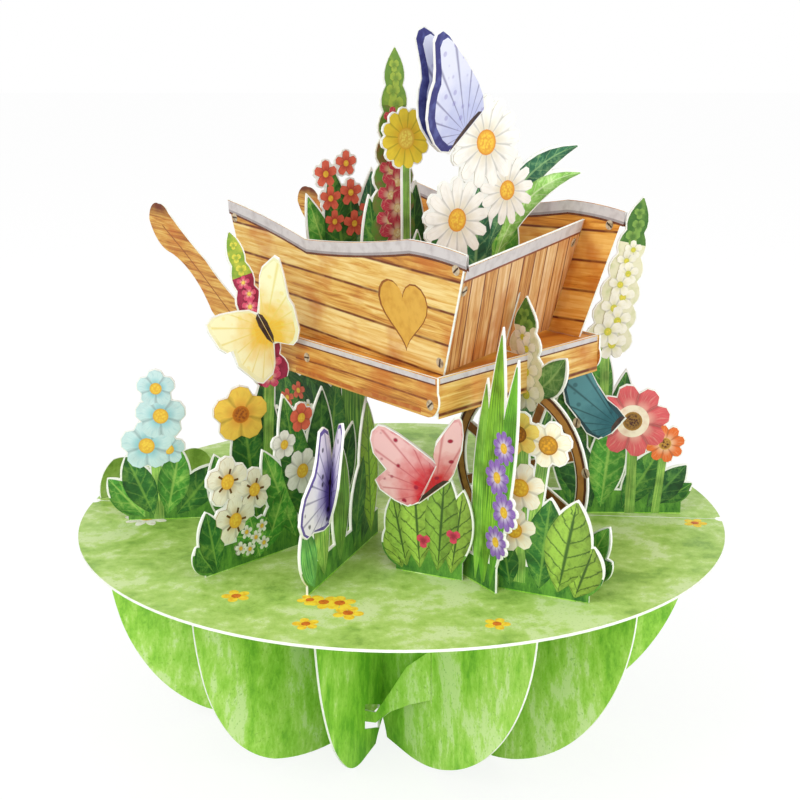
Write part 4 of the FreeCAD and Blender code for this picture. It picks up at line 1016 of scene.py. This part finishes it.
# The wing's name, its pale, root, vein and spot colours, the spots' strength, the border's colours, its
# width, and the height that the pale field is drawn in towards, as a share of the wing's span
WING_PRINTS = {
    "violet_butterfly": ("violet wing", "#EFEAF6", "#7460B4", "#3C2E78", "#1E1838", 0.9,
                         ("#6A57A8", "#2E2460"), 0.9, -0.12),
    "red_butterfly": ("red wing", "#EFC0C0", "#CE2434", "#C04A55", "#A01C3A", 1.0,
                      ("#EBB7B6", "#C9546A"), 0.8, -0.12),
    "yellow_butterfly": ("yellow wing", "#F8F5C8", "#EFC548", "#E6D468", "#F0DE6A", 0.4,
                         ("#F1EFC4", "#E8E09A"), 0.8, -0.12),
    "teal_butterfly": ("teal wing", "#5E98A2", "#2E6672", "#14282C", "#1E3E48", 0.5,
                       ("#2A4A54", "#14262C"), 1.2, -0.12),
    "top_butterfly": ("lavender wing", "#E2E5F6", "#BFC6EA", "#3E3678", "#7A6CB8", 0.4,
                      ("#3A3A78", "#6A74B4"), 2.1, 0.32),
}


def butterfly_wing_faces(azimuth, offset, side, u, h, lean, lift, way):
    """Both sides of one butterfly wing, which goes the given way from the fold."""
    tip, raised = math.radians(lean), math.radians(lift)
    out = Vector((way * math.cos(raised) * math.cos(tip), side * math.sin(raised),
                  -way * math.cos(raised) * math.sin(tip)))
    axis = Vector((math.sin(tip), 0, math.cos(tip)))
    run, square = along(azimuth), across(azimuth)
    right, upward = [run * v.x + square * v.y + UP * v.z for v in (out, axis)]
    origin = square * (offset + side * (CARD + SEAT_FIT / 2)) + run * u + UP * h
    outward = right.cross(upward).normalized()
    return [Face(origin, right, upward, outward * way_out) for way_out in (1, -1)]


def butterfly_print(name):
    """A butterfly's two wings, each with its border, and half of its body on each."""
    azimuth, offset, side, u, h, lean, half_length, lifts = BUTTERFLIES[name]
    label, pale, root, vein, spot, spots, border, edge, lead = WING_PRINTS[name]
    PRINTS[name] = wing_print(label, pale, root, vein, spot, spots)
    ink = Print(name.replace("butterfly", "wing") + "_print", "printed_wings")
    body = [(FOLD_GAP, -half_length * 0.95), (1.2, -half_length * 0.5), (1.5, half_length * 0.4),
            (1.2, half_length * 0.85), (FOLD_GAP, half_length)]
    for way, lift, outline in ((-1, lifts[0], WINGS[name][0]), (1, lifts[1], WINGS[name][1])):
        ink.on(butterfly_wing_faces(azimuth, offset, side, u, h, lean, lift, way))
        outline = [(FOLD_GAP, half_length)] + outline + [(FOLD_GAP, -half_length)]
        span = max(math.hypot(x, y) for x, y in outline)
        middle = (sum(x for x, y in outline) / len(outline), sum(y for x, y in outline) / len(outline))
        ink.field(inset(outline, middle, WHITE_EDGE), "wash", border)
        ink.field(inset(outline, (0.0, span * lead), WHITE_EDGE + edge), name, (pale, vein), span)
        ink.field(body, "wash", ("#3A2A2A", "#6E5648"))
    ink.finish()


def point_piece(name, places, turns):
    """A mesh of loose points with the way that each one faces."""
    mesh = bpy.data.meshes.new(name)
    mesh.from_pydata(places, [], [])
    mesh.attributes.new("turn", "FLOAT_VECTOR", "POINT").data.foreach_set(
        "vector", [value for turn in turns for value in turn])
    piece = bpy.data.objects.new(name, mesh)
    bpy.context.scene.collection.objects.link(piece)
    return piece


def geometry_tree(name, inputs):
    """A Geometry Nodes tree with named size inputs, and what those inputs give."""
    tree = bpy.data.node_groups.new(name, "GeometryNodeTree")
    tree.interface.new_socket("Geometry", in_out="INPUT", socket_type="NodeSocketGeometry")
    for label, value in inputs.items():
        kind = "NodeSocketInt" if isinstance(value, int) else "NodeSocketFloat"
        tree.interface.new_socket(label, in_out="INPUT", socket_type=kind).default_value = value
    tree.interface.new_socket("Geometry", in_out="OUTPUT", socket_type="NodeSocketGeometry")
    return tree, node(tree, "NodeGroupInput", out=None)


def applied(piece, tree, values):
    """The tree's result as a plain mesh piece, with the tree's inputs set by their identifiers."""
    modifier = piece.modifiers.new("shape", "NODES")
    modifier.node_group = tree
    for item in tree.interface.items_tree:
        if item.in_out == "INPUT" and item.name in values:
            modifier[item.identifier] = values[item.name]
    depsgraph = bpy.context.evaluated_depsgraph_get()
    mesh = bpy.data.meshes.new_from_object(piece.evaluated_get(depsgraph))
    name = piece.name
    piece.modifiers.clear()
    bpy.data.objects.remove(piece)
    finished(name, mesh)


def flower_tree(petal_ink, middle_ink):
    """A small printed flower on each point: a ring of oval petals and a round middle."""
    tree, given = geometry_tree("meadow flowers", {"Petals": 5, "Radius": 2 * MM, "Petal width": 0.9,
                                                   "Ink": 0.05 * MM})
    reach, half, core = [node(tree, "Math", (given["Radius"], share), operation="MULTIPLY")
                         for share in (0.62, 0.38, 0.34)]
    ring = node(tree, "GeometryNodeMeshCircle", {"Vertices": given["Petals"], "Radius": reach})
    petal = node(tree, "GeometryNodeMeshCylinder", {"Vertices": 12, "Radius": half, "Depth": given["Ink"]})
    narrow = node(tree, "CombineXYZ", (1.0, given["Petal width"], 1.0))
    oval = node(tree, "GeometryNodeTransform", {"Geometry": petal, "Scale": narrow})
    place = node(tree, "GeometryNodeInputPosition")
    facing = node(tree, "FunctionNodeAlignRotationToVector", {"Vector": place}, axis="X")
    petals = node(tree, "GeometryNodeInstanceOnPoints", {"Points": ring, "Instance": oval,
                                                         "Rotation": facing})
    petals = node(tree, "GeometryNodeSetMaterial", {"Geometry": petals, "Material": petal_ink})
    thick = node(tree, "Math", (given["Ink"], 1.6), operation="MULTIPLY")
    middle = node(tree, "GeometryNodeMeshCylinder", {"Vertices": 10, "Radius": core, "Depth": thick})
    middle = node(tree, "GeometryNodeSetMaterial", {"Geometry": middle, "Material": middle_ink})
    flower = node(tree, "GeometryNodeJoinGeometry", ([middle, petals],))
    full_turn = 6.2832
    turn = node(tree, "FunctionNodeRandomValue", {2: 0.0, 3: full_turn, "Seed": 4}, 1, data_type="FLOAT")
    spin = node(tree, "CombineXYZ", {"Z": turn})
    size = node(tree, "FunctionNodeRandomValue", {2: 0.9, 3: 1.15, "Seed": 9}, 1, data_type="FLOAT")
    placed = node(tree, "GeometryNodeInstanceOnPoints", {"Points": given[0], "Instance": flower,
                                                         "Rotation": spin, "Scale": size})
    node(tree, "NodeGroupOutput", [node(tree, "GeometryNodeRealizeInstances", [placed])], None)
    return tree


def screw_tree(head_ink, slot_ink):
    """A printed slotted screw head on each point, square to the way that it faces."""
    tree, given = geometry_tree("slotted screws", {"Radius": 1 * MM, "Ink": 0.12 * MM})
    head = node(tree, "GeometryNodeMeshCylinder", {"Vertices": 16, "Radius": given["Radius"],
                                                   "Depth": given["Ink"]})
    head = node(tree, "GeometryNodeSetMaterial", {"Geometry": head, "Material": head_ink})
    sizes = [node(tree, "Math", (given[label], share), operation="MULTIPLY")
             for label, share in (("Radius", 1.7), ("Radius", 0.34), ("Ink", 1.4))]
    groove = node(tree, "GeometryNodeMeshCube", {"Size": node(tree, "CombineXYZ", sizes)})
    groove = node(tree, "GeometryNodeSetMaterial", {"Geometry": groove, "Material": slot_ink})
    screw = node(tree, "GeometryNodeJoinGeometry", ([head, groove],))
    turn = node(tree, "GeometryNodeInputNamedAttribute", {"Name": "turn"}, data_type="FLOAT_VECTOR")
    placed = node(tree, "GeometryNodeInstanceOnPoints", {"Points": given[0], "Instance": screw,
                                                         "Rotation": turn})
    node(tree, "NodeGroupOutput", [node(tree, "GeometryNodeRealizeInstances", [placed])], None)
    return tree


def meadow_flowers():
    """The small yellow flowers and the daisy printed on the disc."""
    petal = drawn_ink("yellow flower", "#F6DC3A", "#E9B822")
    eye = drawn_ink("flower eye", "#D9781E", "#B85A16")
    white = drawn_ink("daisy petal", "#FCFAF0", "#E6E2CC")
    gold = drawn_ink("daisy eye", "#EFC23A", "#D08A20")
    yellow = ((-33.1, -50.9), (-18.2, -52.8), (-12.2, -54.3), (-10.4, -59.0), (-18.2, -64.0), (18.2, -63.9),
              (68.0, -9.1), (-15.4, -53.9), (40, 44), (-22, 58))
    for name, spots, tree, count, radius, width in (
            ("disc_yellow_flowers", yellow, flower_tree(petal, eye), 5, 2.9, 0.9),
            ("disc_daisy", [(-59.6, -5.9)], flower_tree(white, gold), 9, 5.2, 0.52)):
        places = [MIDDLE + Vector((x, y, 0.03)) * MM for x, y in spots]
        piece = point_piece(name, places, [(0, 0, 0)] * len(places))
        sizes = {"Petals": count, "Radius": radius * MM, "Petal width": width}
        applied(piece, tree, sizes)


def screws():
    """Slotted screw heads printed on the tray, its frame and the wheel."""
    near, far = tray_side_faces(True)[1], tray_side_faces(False)[1]
    board, wheel = sheet_faces(BARROW, FRAME_NEAR)[1], wing_faces(WHEEL, WHEEL_FOLD)[1]
    spots = [(near, -30.2, 24.2), (near, 48.4, 21.8), (near, 41.6, 2.6), (near, -24.0, 2.6),
             (far, 38.5, 25.2), (board, 0.1, 41.0), (board, 42.6, 39.3), (wheel, 53.5, 33.0),
             (wheel, 56.3, 23.0), (wheel, 27.2, 41.5)]
    panel, near_top, far_top = front_panel_faces()
    spots += [(panel[0], near_top[0] + 2.2, near_top[1] - 5), (panel[0], far_top[0] - 2.6, far_top[1] - 5)]
    places = [face.point(u, h, 0.05) for face, u, h in spots]
    turns = []
    for number, (face, u, h) in enumerate(spots):
        turned = face.outward.to_track_quat("Z", "Y").to_matrix()
        spin = math.radians(37 * number)
        way = turned @ Vector((math.cos(spin), math.sin(spin), 0))
        turned.col[0], turned.col[1], turned.col[2] = way, face.outward.cross(way), face.outward
        turns.append(tuple(turned.to_euler()))
    head = drawn_ink("screw head", "#C9B79A", "#8A7458")
    groove = drawn_ink("screw slot", "#4A3626", "#2E2018")
    piece = point_piece("screw_prints", places, turns)
    applied(piece, screw_tree(head, groove), {"Radius": 1.05 * MM})


left_wing_print()
front_wing_print()
wheel_wing_print()
back_wing_print()
single_sheet_prints()
tray_sheet_prints()
barrow_print()
for name in BUTTERFLIES:
    butterfly_print(name)
meadow_flowers()
screws()

# Studio: each lamp's name, place in metres, size and power, then the camera, placed as for the photo
FLOOR_HALF = 6.0
LAMPS = (("key", (-0.45, -0.55, 0.75), 0.5, 3.0), ("fill", (0.6, -0.45, 0.45), 0.6, 2.0),
         ("front", (0.0, -0.8, 0.2), 0.7, 1.4))
CAMERA_PLACE = Vector((0, -0.2879, 0.1039))
CAMERA_TILT, CAMERA_TURN = 75.055, 0.0725
LENS, SENSOR = 57.49, 36


def paper_floor():
    """A floor of matt white paper with a tooth of about 3 mm, which glows a little to the camera."""
    material, tree = new_material("Matt white paper sweep")
    path = node(tree, "LightPath", out="Is Camera Ray")
    place = node(tree, "TexCoord", out="Object")
    tooth = node(tree, "TexNoise", {"Vector": place, "Scale": 0.3 / MM})
    tone = node(tree, "ValToRGB", [tooth], stops=[(0.3, "#F2F2F2"), (0.7, "#F6F6F6")])
    matt = node(tree, "BsdfDiffuse", {"Color": tone})
    glow = node(tree, "Emission", {"Color": (1, 1, 1, 1), "Strength": 1.07})
    seen = node(tree, "Math", (path, 0.8), operation="MULTIPLY")
    node(tree, "OutputMaterial", [node(tree, "MixShader", (seen, matt, glow))], None)
    mesh = bpy.data.meshes.new("floor")
    corners = [(x * FLOOR_HALF, y * FLOOR_HALF, 0) for x, y in ((-1, -1), (1, -1), (1, 1), (-1, 1))]
    mesh.from_pydata(corners, [], [(0, 1, 2, 3)])
    mesh.materials.append(material)
    floor = bpy.data.objects.new("floor", mesh)
    bpy.context.scene.collection.objects.link(floor)


def white_sky():
    """A world that fills the shadows softly, and is plain white to the camera and in reflections."""
    world = bpy.data.worlds.new("studio")
    bpy.context.scene.world = world
    world.use_nodes = True
    tree = world.node_tree
    tree.nodes.clear()
    rays = node(tree, "LightPath", out=None)
    shown = node(tree, "Math", (rays["Is Camera Ray"], rays["Is Glossy Ray"]), operation="MAXIMUM")
    shown = node(tree, "Math", (shown, rays["Is Transmission Ray"]), operation="MAXIMUM")
    fill, white = [node(tree, "Background", ((1, 1, 1, 1), strength)) for strength in (0.72, 1.0)]
    node(tree, "OutputWorld", {"Surface": node(tree, "MixShader", (shown, fill, white))}, None)


def lamps_and_camera():
    """Soft lamps, and the camera at the photograph's angle."""
    scene = bpy.context.scene
    for name, place, size, power in LAMPS:
        lamp = bpy.data.lights.new(name, "AREA")
        lamp.energy, lamp.size = power, size
        piece = bpy.data.objects.new(name, lamp)
        piece.location = place
        piece.rotation_euler = (MIDDLE + UP * 0.02 - Vector(place)).to_track_quat("-Z", "Y").to_euler()
        scene.collection.objects.link(piece)
    camera = bpy.data.cameras.new("camera")
    piece = bpy.data.objects.new("camera", camera)
    scene.collection.objects.link(piece)
    scene.camera = piece
    piece.location = MIDDLE + CAMERA_PLACE
    piece.rotation_euler = (math.radians(CAMERA_TILT), 0, math.radians(CAMERA_TURN))
    camera.lens, camera.sensor_width, camera.clip_start = LENS, SENSOR, 0.01
    scene.view_settings.view_transform = "Standard"


paper_floor()
white_sky()
lamps_and_camera()
